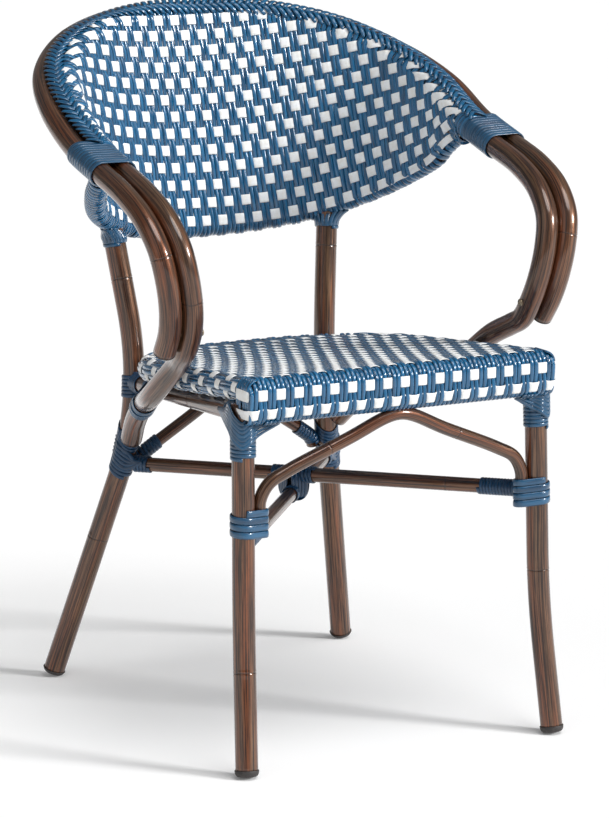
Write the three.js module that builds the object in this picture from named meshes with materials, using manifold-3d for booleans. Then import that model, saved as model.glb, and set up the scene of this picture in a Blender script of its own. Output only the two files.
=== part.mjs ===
// A cafe armchair: a frame of bent round tube with a cane finish, and a seat and back woven from
// blue and white strands. Its joints are lashed with blue strand.
// Millimetres. +X is to the right as seen from the front, the front faces -Y and +Z is up.
// The model is centred over the floor at the end of the file.

import * as THREE from 'three';
import { mergeVertices } from 'three/addons/utils/BufferGeometryUtils.js';
import Module from 'manifold-3d';

const wasm = await Module();
wasm.setup();

// Clearances
const touch = 0.3; // left between pieces that rest on each other
const overrun = 4; // how far a cutting solid passes what it cuts

// Tube widths
const mainTube = 26; // legs and both hoops
const sideRailTube = 22;
const railGap = 1; // between the side rails and the woven roll above them
const rearRailTube = 22;
const frontRailTube = 20;
const seatFrameTube = 22;
const backRailTube = 19;
const archTube = 15;
const stretcherTube = 17;

// Strand: how much the weave or a lashing adds round a tube
const weaveDepth = 2.6;
const weaveLift = 0.9; // the woven skins are faceted, so they stand this much further off
const cordWidth = 5.6;
const cordDepth = 3;
const cordLift = 1.1; // a wound strand is faceted, so it stands this much further off its tubes

// Front legs: at the seat, at the knee where they kick forward, and on the floor
const frontLegSpread = 190;
const frontLegSet = 229;
const frontKneeSpread = 193;
const frontKneeSet = 236;
const frontKneeHeight = 160;
const frontFootSpread = 201;
const frontFootSet = 258;
const frontLegTop = 424;
const frontKneeBend = 60;

// Rear legs: on the floor and at the corner of the long bend under the seat. Their tops meet the
// back's lower rail.
const rearFootSpread = 202.5;
const rearFootSet = 260;
const rearCornerSpread = 122;
const rearCornerSet = 161;
const rearCornerHeight = 356;
const rearTopPlaceShare = 0.285; // where along the rail the right leg meets it
const rearTopTuck = 7; // from the rail's middle down to the leg's end
const rearTopBehind = 1.5; // from the rail's middle back to the leg's axis
const rearBend = 110;

// Glides under the feet
const glideHeight = 9;
const glideRim = 1;
const glideStem = 16;
const glideStemLength = 24;

// Seat: outline of the woven pad, its height at the front and its fall to the back
const seatFrontSpread = 200;
const seatRearSpread = 186;
const seatFront = 261;
const seatBack = 157;
const seatCornerRadius = 145;
const seatTop = 456;
const seatFallShare = 0.093; // drop in height, as a share of the way to the back
const seatSag = 7;
const seatFrontStep = 16; // where the deep front edge gives way to the side roll
const frontRailSpread = 180; // half the rail hidden in the deep front edge

// Outer hoop: half its width, how far it reaches behind and in front, and its height
const hoopSpread = 271;
const hoopBack = 313;
const hoopFront = 179;
const hoopHeight = 802;

// The hoop's right half as shares of its spread, reach and height, from the arm's end to the top.
// A reach below zero is a share of hoopFront. The last share is of a quarter turn: where the
// sitter's side of the tube faces, from straight across at the arm to straight forward at the top.
const hoopShares = [
  [0.911, -0.832, 0.592, 0],
  [0.919, -0.927, 0.623, 0],
  [0.934, -0.983, 0.658, 0],
  [0.956, -1, 0.7, 0],
  [0.978, -0.961, 0.742, 0],
  [0.993, -0.81, 0.779, 0],
  [1, -0.564, 0.806, 0],
  [1, -0.235, 0.827, 0],
  [1, 0.105, 0.854, 0.06],
  [0.985, 0.339, 0.898, 0.2],
  [0.897, 0.562, 0.936, 0.38],
  [0.716, 0.751, 0.969, 0.56],
  [0.491, 0.888, 0.989, 0.72],
  [0.247, 0.971, 0.999, 0.87],
  [0, 1, 1, 1],
];
const hoopStraightRows = 5; // the rows that lie in the arm, before the lashing
const hoopSteps = 44;
const hoopGap = 0.9; // between the two hoops, which are bent side by side

// Arm tail, as shares of the seat's width, depth and height: from its end on the rear leg, past the
// side rail and beside the seat, up to where it joins the outer hoop. It is tied to the rail between
// its second and third row.
const tailShares = [
  [0.705, 1.006, 0.68],
  [0.75, 0.815, 0.739],
  [0.815, 0.497, 0.807],
  [0.995, -0.069, 0.873],
  [1.04, -0.402, 0.989],
  [1.08, -0.506, 1.02],
];
const innerHoopSteps = 60;

// Lower rail of the back, as shares of its spread, its reach and its rise to the inner hoop
const backRailSpread = 231;
const backRailReach = 246;
const backRailHeight = 545;
const railEndPlaceShare = 0.2365; // where along the inner hoop, from the arm's end, the rail joins it
const railEndBelow = 16.5; // from the hoop's middle down to the rail's
const backRailShares = [
  [1.02, 0.175, 1],
  [0.985, 0.235, 0.774],
  [0.925, 0.405, 0.566],
  [0.79, 0.64, 0.323],
  [0.585, 0.82, 0.145],
  [0.308, 0.951, 0.034],
  [0, 1, 0],
];
const backRailSteps = 32;
const railTipLength = 36; // the upturned run at each end

// Lashing round both arm tubes, measured along the hoop from the arm's end
const armLashStart = 277;
const armLashTurns = 10;
const armLashPitch = 7.1;

// Lashing of the front arch to the front legs
const archLashBottom = 269;
const archLashTurns = 4;
const archLashPitch = 7.4;
const archLashWidth = 6.6;

// Stretchers between the legs, each named for its end at the back
const stretcherLowRear = 258;
const stretcherLowFront = 263;
const stretcherHighRear = 275;
const stretcherHighFront = 288;

// Arches under the front and rear rails
const frontArchShares = [
  [1, 0, 0],
  [1, 0, 0.17],
  [1, 0, 0.31],
  [0.94, 0.1, 0.46],
  [0.8, 0.2, 0.565],
  [0.36, 0.65, 0.815],
  [0.1, 0.95, 0.975],
  [0, 1, 1],
];
const frontArchFoot = 272;
const rearArchShares = [
  [1, 0],
  [0.985, 0.12],
  [0.88, 0.25],
  [0.4, 0.7],
  [0.1, 0.97],
  [0, 1],
];
const rearArchFoot = 272;

// Braid over the top of the back
const braidWidth = 15;
const braidDepth = 4;
const braidTilt = Math.PI / 3;

// Lengths of the plain lashings
const cornerLashDrop = 43;
const cornerLashReach = 34;
const seatLashLength = 24;
const seatLashReach = 30;
const lowLashBelow = 52;
const lowLashAbove = 45;
const sleeveReach = 42;
const postLashDrop = 8;
const postLashLength = 16;
const armTieLength = 26;
const armTieLink = 14;
const crossLashLength = 56;

// Facets
const tubeSides = 10;
const thinSides = 8;
const cordSteps = 14;
const pathDivisions = 2000;
const angleStepShare = 0.005; // of a path's length, to step past the run that lies in front
const mergeDistance = 1e-4;
const smallestDetail = 0.01; // finer slivers left by the cuts are smoothed away

// Colours
const cane = { color: 0x5a3c2c, roughness: 0.42, metalness: 0.15 };
const blue = { color: 0x2c6c9c, roughness: 0.5, metalness: 0 };
const checked = { color: 0x7fa6c4, roughness: 0.5, metalness: 0 };
const grey = { color: 0x3c3a3a, roughness: 0.6, metalness: 0 };
const steel = { color: 0xb9a58a, roughness: 0.4, metalness: 0.8 };

const point = (x, y, z) => new THREE.Vector3(x, y, z);
const mirrored = (p) => point(-p.x, p.y, p.z);
const up = point(0, 0, 1);

// Solids

function solidOf(geometry) {
  const plain = geometry.index ? geometry.toNonIndexed() : geometry.clone();
  plain.deleteAttribute('normal');
  plain.deleteAttribute('uv');
  const merged = mergeVertices(plain, mergeDistance);
  return new wasm.Manifold(new wasm.Mesh({
    numProp: 3,
    vertProperties: new Float32Array(merged.attributes.position.array),
    triVerts: new Uint32Array(merged.index.array),
  }));
}

function geometryOf(solid) {
  const mesh = solid.simplify(smallestDetail).getMesh();
  const geometry = new THREE.BufferGeometry();
  geometry.setAttribute('position', new THREE.BufferAttribute(new Float32Array(mesh.vertProperties), 3));
  geometry.setIndex(new THREE.BufferAttribute(new Uint32Array(mesh.triVerts), 1));
  return geometry;
}

// A tube is kept as its path and width, so that its neighbours can be cut to fit it
function tube(path, width, steps, sides = tubeSides) {
  return { path, width, steps, sides };
}

function tubeSolid({ path, width, steps, sides }, extra = 0) {
  const section = new THREE.Shape();
  section.absarc(0, 0, width / 2 + extra, 0, Math.PI * 2);
  const settings = { steps, extrudePath: path, curveSegments: sides / 2 };
  return solidOf(new THREE.ExtrudeGeometry(section, settings));
}

function straight(from, to, width, sides = thinSides) {
  return tube(new THREE.LineCurve3(from, to), width, 1, sides);
}

// Every tube given as a neighbour is cut away with the usual clearance
function cutBy(solid, ...neighbours) {
  return neighbours.reduce((rest, other) => rest.subtract(tubeSolid(other, touch)), solid);
}

function joined(solids) {
  return solids.reduce((all, one) => all.add(one));
}

// A path of straight runs whose corners are rounded over the given length
function bentPath(corners, bend) {
  const path = new THREE.CurvePath();
  let from = corners[0];
  for (let i = 1; i < corners.length - 1; i++) {
    const corner = corners[i];
    const before = corner.clone().lerp(from, bend / corner.distanceTo(from));
    const after = corner.clone().lerp(corners[i + 1], bend / corner.distanceTo(corners[i + 1]));
    path.add(new THREE.LineCurve3(from, before));
    path.add(new THREE.QuadraticBezierCurve3(before, corner, after));
    from = after;
  }
  path.add(new THREE.LineCurve3(from, corners[corners.length - 1]));
  return path;
}

// A closed skin over rows of points: each row goes round the piece, and the ends are capped
function sweptSolid(rows) {
  const positions = [];
  const sides = rows[0].length;
  const face = (a, b, c) => positions.push(...a.toArray(), ...b.toArray(), ...c.toArray());
  for (let i = 0; i < rows.length - 1; i++) {
    for (let j = 0; j < sides; j++) {
      const k = (j + 1) % sides;
      face(rows[i][j], rows[i][k], rows[i + 1][k]);
      face(rows[i][j], rows[i + 1][k], rows[i + 1][j]);
    }
  }
  const last = rows[rows.length - 1];
  for (let j = 1; j < sides - 1; j++) {
    face(rows[0][0], rows[0][j + 1], rows[0][j]);
    face(last[0], last[j], last[j + 1]);
  }
  const geometry = new THREE.BufferGeometry();
  geometry.setAttribute('position', new THREE.Float32BufferAttribute(positions, 3));
  const solid = solidOf(geometry);
  return solid.volume() > 0 ? solid : sweptSolid(rows.map((row) => [...row].reverse()));
}

// Where a path passes a given height
function pathAtHeight(path, height) {
  let low = 0;
  let high = 1;
  const rising = path.getPointAt(1).z > path.getPointAt(0).z;
  for (let i = 0; i < 40; i++) {
    const middle = (low + high) / 2;
    if ((path.getPointAt(middle).z < height) === rising) low = middle;
    else high = middle;
  }
  return path.getPointAt(low);
}

// Hoops

// A path from its right half and its mirror image
function bothHalves(half) {
  const rest = half.slice(0, -1).reverse().map(mirrored);
  const path = new THREE.CatmullRomCurve3([...half, ...rest]);
  path.arcLengthDivisions = pathDivisions;
  return path;
}

function hoopPoint([across, along, high]) {
  const y = along < 0 ? along * hoopFront : along * hoopBack;
  return point(across * hoopSpread, y, high * hoopHeight);
}

function sitterSide([, , , turn]) {
  const angle = turn * Math.PI / 2;
  return point(-Math.cos(angle), -Math.sin(angle), 0);
}

const hoopPitch = mainTube + hoopGap;
const outerHalf = hoopShares.map(hoopPoint);
const innerHalf = hoopShares.map((row) => hoopPoint(row).addScaledVector(sitterSide(row), hoopPitch));
const tailHalf = tailShares.map(([across, along, high]) => {
  const y = along < 0 ? along * seatFront : along * seatBack;
  return point(across * seatFrontSpread, y, high * seatTop);
});
const outerPath = bothHalves(outerHalf);
const innerPath = bothHalves([...tailHalf, ...innerHalf]);
const innerTopPath = bothHalves(innerHalf);
const outerHoop = tube(outerPath, mainTube, hoopSteps);
const innerHoop = tube(innerPath, mainTube, innerHoopSteps);

// Back rail

const railEndHeight = innerTopPath.getPointAt(railEndPlaceShare).z - railEndBelow;

function backRailPoint([across, along, rise]) {
  const z = backRailHeight + (railEndHeight - backRailHeight) * rise;
  return point(across * backRailSpread, along * backRailReach, z);
}

const backRailPath = bothHalves(backRailShares.map(backRailPoint));
const backRail = tube(backRailPath, backRailTube, backRailSteps, thinSides);

// Legs and glides

const backRailJoin = backRailPath.getPointAt(rearTopPlaceShare);
const legPaths = {
  front_leg_right: bentPath([
    point(frontFootSpread, -frontFootSet, 0),
    point(frontKneeSpread, -frontKneeSet, frontKneeHeight),
    point(frontLegSpread, -frontLegSet, frontLegTop),
  ], frontKneeBend),
  rear_leg_right: bentPath([
    point(rearFootSpread, rearFootSet, 0),
    point(rearCornerSpread, rearCornerSet, rearCornerHeight),
    point(backRailJoin.x, backRailJoin.y + rearTopBehind, backRailJoin.z - rearTopTuck),
  ], rearBend),
};

function shortened(path, by) {
  const whole = path.getLength();
  const start = path.getPointAt(by / whole);
  const rest = new THREE.CurvePath();
  path.curves.forEach((curve, i) => {
    rest.add(i === 0 ? new THREE.LineCurve3(start, curve.v2) : curve);
  });
  return rest;
}

function mirroredPath(path) {
  const other = new THREE.CurvePath();
  for (const curve of path.curves) {
    const twin = curve.isLineCurve3
      ? new THREE.LineCurve3(mirrored(curve.v1), mirrored(curve.v2))
      : new THREE.QuadraticBezierCurve3(mirrored(curve.v0), mirrored(curve.v1), mirrored(curve.v2));
    other.add(twin);
  }
  return other;
}

legPaths.front_leg_left = mirroredPath(legPaths.front_leg_right);
legPaths.rear_leg_left = mirroredPath(legPaths.rear_leg_right);

const legs = {};
for (const [name, path] of Object.entries(legPaths)) {
  legs[name] = tube(shortened(path, glideHeight), mainTube, 11);
}

// The stem's hole follows the leg's own axis from its lower end
function stemOf(path, width, from, to) {
  const foot = path.getPointAt(0);
  const axis = path.getTangentAt(0);
  const along = (distance) => foot.clone().addScaledVector(axis, distance);
  return straight(along(from), along(to), width);
}

function legSolid(name) {
  const path = legPaths[name];
  const hole = stemOf(path, glideStem + 2 * touch, 0, glideHeight + glideStemLength + overrun);
  return tubeSolid(legs[name]).subtract(tubeSolid(hole));
}

function glideSolid(name) {
  const path = legPaths[name];
  const foot = path.getPointAt(0);
  const cap = stemOf(path, mainTube + 2 * glideRim, -glideHeight, glideHeight - touch);
  const stem = stemOf(path, glideStem, 0, glideHeight + glideStemLength);
  const floorBlock = new THREE.BoxGeometry(mainTube * 3, mainTube * 3, mainTube);
  floorBlock.translate(foot.x, foot.y, -mainTube / 2);
  return tubeSolid(cap).add(tubeSolid(stem)).subtract(solidOf(floorBlock));
}

// Arm ends

// Caps in the arm ends, each with a plug in the tube
const capDepth = 3;
const capPlug = 18;
const capPlugLength = 16;

function armCapParts(sign) {
  const at = sign > 0 ? 0 : 1;
  const end = outerPath.getPointAt(at);
  const inward = outerPath.getTangentAt(at).multiplyScalar(sign);
  const along = (distance) => end.clone().addScaledVector(inward, distance);
  return {
    cap: straight(along(-capDepth - touch), along(-touch), mainTube, tubeSides),
    plug: straight(along(-touch - capDepth / 2), along(capPlugLength), capPlug),
    hole: straight(along(-overrun), along(capPlugLength + touch), capPlug + 2 * touch),
  };
}

// Screws that hold the outer hoop's ends to the inner hoop
const screwWidth = 6;
const screwHead = 9;
const screwHeadDepth = 2.5;
const screwPlace = 26; // from the arm's end, along the hoop

function armScrew(sign) {
  const share = screwPlace / outerPath.getLength();
  const at = sign > 0 ? share : 1 - share;
  const outer = outerPath.getPointAt(at);
  const across = point(-sign, 0, 0);
  const from = outer.clone();
  const to = outer.clone().addScaledVector(across, hoopPitch + mainTube / 2);
  const head = to.clone().addScaledVector(across, screwHeadDepth);
  return { shank: straight(from, to, screwWidth), head: straight(to, head, screwHead) };
}

// Seat frame. The tube runs a roll's depth inside the outline of the pad.

const rollDepth = seatFrameTube / 2 + touch + weaveLift + weaveDepth;
const frameFront = seatFront - rollDepth;
const frameTop = seatTop - rollDepth;

function seatHeight(y) {
  return frameTop - seatFallShare * (y + frameFront);
}

// Places round the seat frame's centre line with the direction that faces out of the seat
function seatStations(sideCount, arcCount, frontCount) {
  const cornerX = seatRearSpread - seatCornerRadius;
  const cornerY = seatBack - seatCornerRadius;
  const arc = seatCornerRadius - rollDepth;
  const frontX = seatFrontSpread - rollDepth;
  const lean = Math.atan2(seatFrontSpread - seatRearSpread, cornerY + frameFront);
  const sideOut = point(Math.cos(lean), Math.sin(lean), 0);
  const right = [];
  for (let i = 0; i < frontCount; i++) {
    right.push({ x: frontX * i / frontCount, y: -frameFront, out: point(0, -1, 0), deep: true });
  }
  const mitre = point(sideOut.x, -1, 0);
  right.push({ x: frontX, y: -frameFront, out: mitre, deep: true });
  const tangentX = cornerX + arc * Math.cos(lean);
  const tangentY = cornerY + arc * Math.sin(lean);
  for (let i = 0; i < sideCount; i++) {
    const y = i === 0 ? -frameFront + seatFrontStep : -frameFront + (tangentY + frameFront) * i / sideCount;
    const x = frontX + (tangentX - frontX) * (y + frameFront) / (tangentY + frameFront);
    right.push({ x, y, out: sideOut, deep: false });
  }
  for (let i = 0; i <= arcCount; i++) {
    const angle = lean + (Math.PI / 2 - lean) * i / arcCount;
    const out = point(Math.cos(angle), Math.sin(angle), 0);
    right.push({ x: cornerX + arc * out.x, y: cornerY + arc * out.y, out, deep: false });
  }
  right.push({ x: 0, y: cornerY + arc, out: point(0, 1, 0), deep: false });
  const left = right.slice(1, -1).reverse().map(({ x, y, out, deep }) => ({ x: -x, y, out: mirrored(out), deep }));
  return [...right, ...left];
}

const stations = seatStations(3, 8, 2);

function stationPoint({ x, y, out }, across, high) {
  return point(x + out.x * across, y + out.y * across, seatHeight(y) + high);
}

// A closed ring: every station carries the same number of section points
function ringSolid(rows) {
  return solidOf(ringGeometry(rows, []));
}

// Rows of points round a ring; the faces given besides close what the rows leave open
function ringGeometry(rows, extra, closeSection = true) {
  const positions = [];
  const face = (a, b, c) => positions.push(...a.toArray(), ...b.toArray(), ...c.toArray());
  const sides = rows[0].length;
  for (let i = 0; i < rows.length; i++) {
    const next = rows[(i + 1) % rows.length];
    for (let j = 0; j < (closeSection ? sides : sides - 1); j++) {
      const k = (j + 1) % sides;
      face(rows[i][j], next[k], rows[i][k]);
      face(rows[i][j], next[j], next[k]);
    }
  }
  for (const [a, b, c] of extra) face(a, b, c);
  const geometry = new THREE.BufferGeometry();
  geometry.setAttribute('position', new THREE.Float32BufferAttribute(positions, 3));
  return geometry;
}

function seatFrameSolid(extra = 0) {
  const radius = seatFrameTube / 2 + extra;
  const rows = stations.map((station) => {
    const row = [];
    for (let j = 0; j < thinSides; j++) {
      const angle = Math.PI * 2 * j / thinSides;
      row.push(stationPoint(station, radius * Math.cos(angle), radius * Math.sin(angle)));
    }
    return row;
  });
  return ringSolid(rows);
}

// Front rail, under the front of the seat frame and flush with its front
const frontRailDrop = seatFrameTube / 2 + touch + frontRailTube / 2;
const frontRailSet = frameFront + (seatFrameTube - frontRailTube) / 2;
const frontRailHeight = frameTop - frontRailDrop;
const frontRail = straight(
  point(-frontRailSpread, -frontRailSet, frontRailHeight),
  point(frontRailSpread, -frontRailSet, frontRailHeight),
  frontRailTube,
);

// Woven pad: a skin over the outside of the frame and across its top, open below
function seatWeaveSolid() {
  const sideAngles = [-90, -54, -18, 18, 54, 90];
  const frontAngles = [-90, -45, 0, 0, 45, 90];
  const ringShares = [0.2, 0.6];
  const middle = point(0, (seatBack - seatFront) / 2, 0);
  const rows = stations.map((station) => {
    const skin = (depth) => (station.deep ? frontAngles : sideAngles).map((degrees, j) => {
      const angle = degrees * Math.PI / 180;
      const low = station.deep && j < frontAngles.length / 2;
      const radius = (low ? frontRailTube / 2 : seatFrameTube / 2) + depth;
      const across = (low ? frontRailSet - frameFront : 0) + radius * Math.cos(angle);
      const high = (low ? -frontRailDrop : 0) + radius * Math.sin(angle);
      return stationPoint(station, across, high);
    });
    const sheet = (depth) => ringShares.map((share) => {
      const x = station.x + (middle.x - station.x) * share;
      const y = station.y + (middle.y - station.y) * share;
      const sag = seatSag * (1 - (1 - share) ** 2);
      return point(x, y, seatHeight(y) + seatFrameTube / 2 + depth - sag);
    });
    const near = touch + weaveLift;
    const outside = [...skin(near + weaveDepth), ...sheet(near + weaveDepth)];
    const inside = [...skin(near), ...sheet(near)];
    return { outside, inside };
  });
  const top = point(0, middle.y, seatHeight(middle.y) + rollDepth - seatSag);
  const bottom = top.clone().addScaledVector(up, -weaveDepth);
  const extra = [];
  const count = rows.length;
  for (let i = 0; i < count; i++) {
    const a = rows[i];
    const b = rows[(i + 1) % count];
    const last = a.outside.length - 1;
    extra.push([a.outside[last], b.outside[last], top]);
    extra.push([b.inside[last], a.inside[last], bottom]);
    extra.push([a.inside[0], b.outside[0], a.outside[0]]);
    extra.push([a.inside[0], b.inside[0], b.outside[0]]);
  }
  const outsideFaces = ringGeometry(rows.map((row) => row.outside), extra, false);
  const insideFaces = ringGeometry(rows.map((row) => [...row.inside].reverse()), [], false);
  const geometry = new THREE.BufferGeometry();
  const all = [...outsideFaces.attributes.position.array, ...insideFaces.attributes.position.array];
  geometry.setAttribute('position', new THREE.Float32BufferAttribute(all, 3));
  return solidOf(geometry);
}

// Rails under the seat

const railDrop = rollDepth + railGap + sideRailTube / 2;
const sideRailHeight = (y) => seatHeight(y) - railDrop;
const legBehindSeat = pathAtHeight(legPaths.rear_leg_right, sideRailHeight(rearCornerSet));

function sideRail(sign) {
  const front = point(sign * frontLegSpread, -frontLegSet, sideRailHeight(-frontLegSet));
  const rear = point(sign * legBehindSeat.x, legBehindSeat.y, sideRailHeight(legBehindSeat.y));
  return straight(front, rear, sideRailTube);
}

const sideRails = { side_rail_right: sideRail(1), side_rail_left: sideRail(-1) };
const rearRailHeight = sideRailHeight(legBehindSeat.y);
const rearRail = straight(
  point(-legBehindSeat.x, legBehindSeat.y, rearRailHeight),
  point(legBehindSeat.x, legBehindSeat.y, rearRailHeight),
  rearRailTube,
);

// Stretchers: two straight tubes that cross under the seat, one over the other

const legAt = (name, height) => pathAtHeight(legPaths[name], height);
const stretchers = {
  stretcher_upper: straight(
    legAt('rear_leg_left', stretcherHighRear),
    legAt('front_leg_right', stretcherHighFront),
    stretcherTube,
  ),
  stretcher_lower: straight(
    legAt('rear_leg_right', stretcherLowRear),
    legAt('front_leg_left', stretcherLowFront),
    stretcherTube,
  ),
};

// Arches, from the inner side of one leg to the other

const legToArch = (mainTube + archTube) / 2 + touch;
const apronBottom = frontRailHeight - frontRailTube / 2 - touch - weaveLift - weaveDepth;
const frontArchTop = apronBottom - touch - archTube / 2;
const frontArchHalf = frontArchShares.map(([across, forward, high]) => {
  const z = frontArchFoot + (frontArchTop - frontArchFoot) * high;
  const leg = legAt('front_leg_right', z);
  const y = leg.y + (-frontRailSet - leg.y) * forward;
  return point((leg.x - legToArch) * across, y, z);
});
const frontArch = tube(bothHalves(frontArchHalf), archTube, 30, thinSides);

const rearArchTop = rearRailHeight - rearRailTube / 2 - touch - archTube / 2;
const rearArchHalf = rearArchShares.map(([across, high]) => {
  const z = rearArchFoot + (rearArchTop - rearArchFoot) * high;
  const leg = legAt('rear_leg_right', z);
  const x = (leg.x - legToArch) * across;
  return point(x, leg.y, z);
});
const rearArch = tube(bothHalves(rearArchHalf), archTube, 24, thinSides);

// Back weave: a skin in front of the inner hoop and the back rail

const backCentre = 18; // the plan's middle, from which the back is seen as an arc
const backColumns = 30;
const backRows = 2;
const backStartAngle = 0.15;
const backCrowding = 1.3; // above one, the columns stand closer together towards the arms
const frontOfHoop = mainTube / 2 + touch + weaveLift;
const wrapLift = 1.5; // the wrap round the rail follows its bends more coarsely than the rail
const frontOfRail = backRailTube / 2 + touch + wrapLift;
const backRailRoll = touch + wrapLift + weaveDepth; // how far the weave wraps out from the rail

// How far along a hoop a given angle round the plan's middle is, as a share of its length
function shareAtAngle(path, angle) {
  let low = 0;
  let high = 0.5;
  const angleOf = (p) => Math.atan2(p.y - backCentre, p.x);
  while (angleOf(path.getPointAt(low)) < 0) low += angleStepShare;
  for (let i = 0; i < 40; i++) {
    const middle = (low + high) / 2;
    if (angleOf(path.getPointAt(middle)) < angle) low = middle;
    else high = middle;
  }
  return low;
}

// The skin hangs from the hoop to the rail and wraps round the rail to its back
function backWeaveSolid() {
  const half = backColumns / 2;
  const wrapAngles = [-36, -72, -108, -144, -180];
  const rows = [];
  for (let i = 0; i <= half; i++) {
    const angle = backStartAngle + (Math.PI / 2 - backStartAngle) * (i / half) ** backCrowding;
    const high = innerTopPath.getPointAt(i === half ? 0.5 : shareAtAngle(innerTopPath, angle));
    const lowShare = i === half ? 0.5 : shareAtAngle(backRailPath, angle);
    const low = backRailPath.getPointAt(lowShare);
    const along = backRailPath.getTangentAt(lowShare);
    const inward = point(-Math.cos(angle), -Math.sin(angle), 0);
    const raised = along.clone().cross(inward).normalize();
    const level = raised.clone().cross(along).normalize();
    const skin = (depth) => {
      const line = [];
      for (let j = backRows; j > 0; j--) {
        const share = j / backRows;
        const stand = frontOfRail + (frontOfHoop - frontOfRail) * share + depth;
        line.push(low.clone().lerp(high, share).addScaledVector(inward, stand));
      }
      for (const degrees of [0, ...wrapAngles]) {
        const at = degrees * Math.PI / 180;
        const radius = frontOfRail + depth;
        line.push(low.clone()
          .addScaledVector(level, radius * Math.cos(at))
          .addScaledVector(raised, radius * Math.sin(at)));
      }
      return line;
    };
    rows.push([...skin(0), ...skin(weaveDepth).reverse()]);
  }
  const rest = rows.slice(0, -1).reverse().map((row) => row.map(mirrored));
  return sweptSolid([...rows, ...rest]);
}

// The upturned ends of the back rail, as straight runs
function railTip(sign) {
  const whole = backRailPath.getLength();
  const end = sign > 0 ? 0 : 1;
  const [from, to] = [0, railTipLength].map((distance) => backRailPath.getPointAt(
    Math.abs(end - distance / whole),
  ));
  return straight(from, to, backRailTube + 2 * (touch + wrapLift), thinSides);
}

// Braid: a flat band along the inner hoop, facing forward and up

const braidPath = innerTopPath;
const braidEndAngle = 0.16;
const braidSteps = 32;

function braidSolid() {
  const count = braidSteps;
  const rows = [];
  for (let i = 0; i <= count; i++) {
    const angle = braidEndAngle + (Math.PI - 2 * braidEndAngle) * i / count;
    const near = angle <= Math.PI / 2 ? angle : Math.PI - angle;
    const place = braidPath.getPointAt(i * 2 === count ? 0.5 : shareAtAngle(braidPath, near));
    if (angle > Math.PI / 2) place.x *= -1;
    const inward = point(-Math.cos(angle), -Math.sin(angle), 0);
    const facing = inward.clone().multiplyScalar(Math.cos(braidTilt)).addScaledVector(up, Math.sin(braidTilt));
    const across = inward.clone().multiplyScalar(-Math.sin(braidTilt)).addScaledVector(up, Math.cos(braidTilt));
    const corner = (side, depth) => place.clone()
      .addScaledVector(facing, mainTube / 2 + touch + weaveLift + depth)
      .addScaledVector(across, side * braidWidth / 2);
    rows.push([corner(-1, 0), corner(1, 0), corner(1, braidDepth), corner(-1, braidDepth)]);
  }
  return sweptSolid(rows);
}

// Windings: one strand round two tubes side by side

// Lengths along a loop round two circles whose middles are a span apart
function loopLengths(span, radiusA, radiusB) {
  const spread = Math.acos((radiusA - radiusB) / span);
  const arcB = 2 * spread * radiusB;
  const arcA = (2 * Math.PI - 2 * spread) * radiusA;
  const run = Math.sqrt(span ** 2 - (radiusA - radiusB) ** 2);
  return { spread, arcA, arcB, run, whole: arcA + arcB + 2 * run };
}

// The place on that loop after a number of turns, with the way out of the circles there
function loopPoint(turn, a, b, radiusA, radiusB, normal) {
  const line = b.clone().sub(a).normalize();
  const side = normal.clone().cross(line).normalize();
  const { spread, arcA, arcB, run, whole } = loopLengths(a.distanceTo(b), radiusA, radiusB);
  const around = (middle, radius, at) => middle.clone()
    .addScaledVector(line, radius * Math.cos(at))
    .addScaledVector(side, radius * Math.sin(at));
  let left = (turn % 1) * whole;
  const out = (at) => line.clone().multiplyScalar(Math.cos(at)).addScaledVector(side, Math.sin(at));
  if (left < arcB) {
    const at = -spread + left / radiusB;
    return { place: around(b, radiusB, at), out: out(at) };
  }
  left -= arcB;
  if (left < run) {
    const place = around(b, radiusB, spread).lerp(around(a, radiusA, spread), left / run);
    return { place, out: out(spread) };
  }
  left -= run;
  if (left < arcA) {
    const at = spread + left / radiusA;
    return { place: around(a, radiusA, at), out: out(at) };
  }
  left -= arcA;
  const place = around(a, radiusA, -spread).lerp(around(b, radiusB, -spread), left / run);
  return { place, out: out(-spread) };
}

// Five-sided strand, flat against the tubes: its width lies along the tubes
function strandRow(place, out, along, width, depth) {
  const cornerShares = [[-0.5, 0], [-0.5, 0.6], [0, 1], [0.5, 0.6], [0.5, 0]];
  return cornerShares.map(([side, high]) => place.clone()
    .addScaledVector(along, side * width)
    .addScaledVector(out, high * depth));
}

// Both ends run straight for the strand's own width, flat between the two tubes
function winding({ name, turns, pitch, width, steps, at }) {
  const rows = [];
  const line = [];
  const first = at(0);
  const stand = touch + cordLift;
  const lengths = loopLengths(first.a.distanceTo(first.b), first.radiusA + stand, first.radiusB + stand);
  const turnsInAll = turns + lengths.arcB / lengths.whole;
  const count = Math.round(turnsInAll * steps);
  const addRow = (turn, ahead) => {
    const { a, b, radiusA, radiusB, along } = at((turn + 0.5) * pitch);
    const { place, out } = loopPoint(turn, a, b, radiusA + stand, radiusB + stand, along);
    place.addScaledVector(b.clone().sub(a).normalize(), ahead * width);
    rows.push(strandRow(place, out, along, width, cordDepth));
    line.push(place);
  };
  addRow(0, -1);
  for (let i = 0; i <= count; i++) addRow(turnsInAll * i / count, 0);
  addRow(turnsInAll, -1);
  let least = Infinity;
  for (let i = 0; i < line.length; i++) {
    for (let j = i + Math.floor(steps / 2); j < line.length; j++) {
      least = Math.min(least, line[i].distanceTo(line[j]) - width);
    }
  }
  console.log(`${name}: least gap of the winding to itself ${least.toFixed(2)} mm`);
  return sweptSolid(rows);
}

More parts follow.
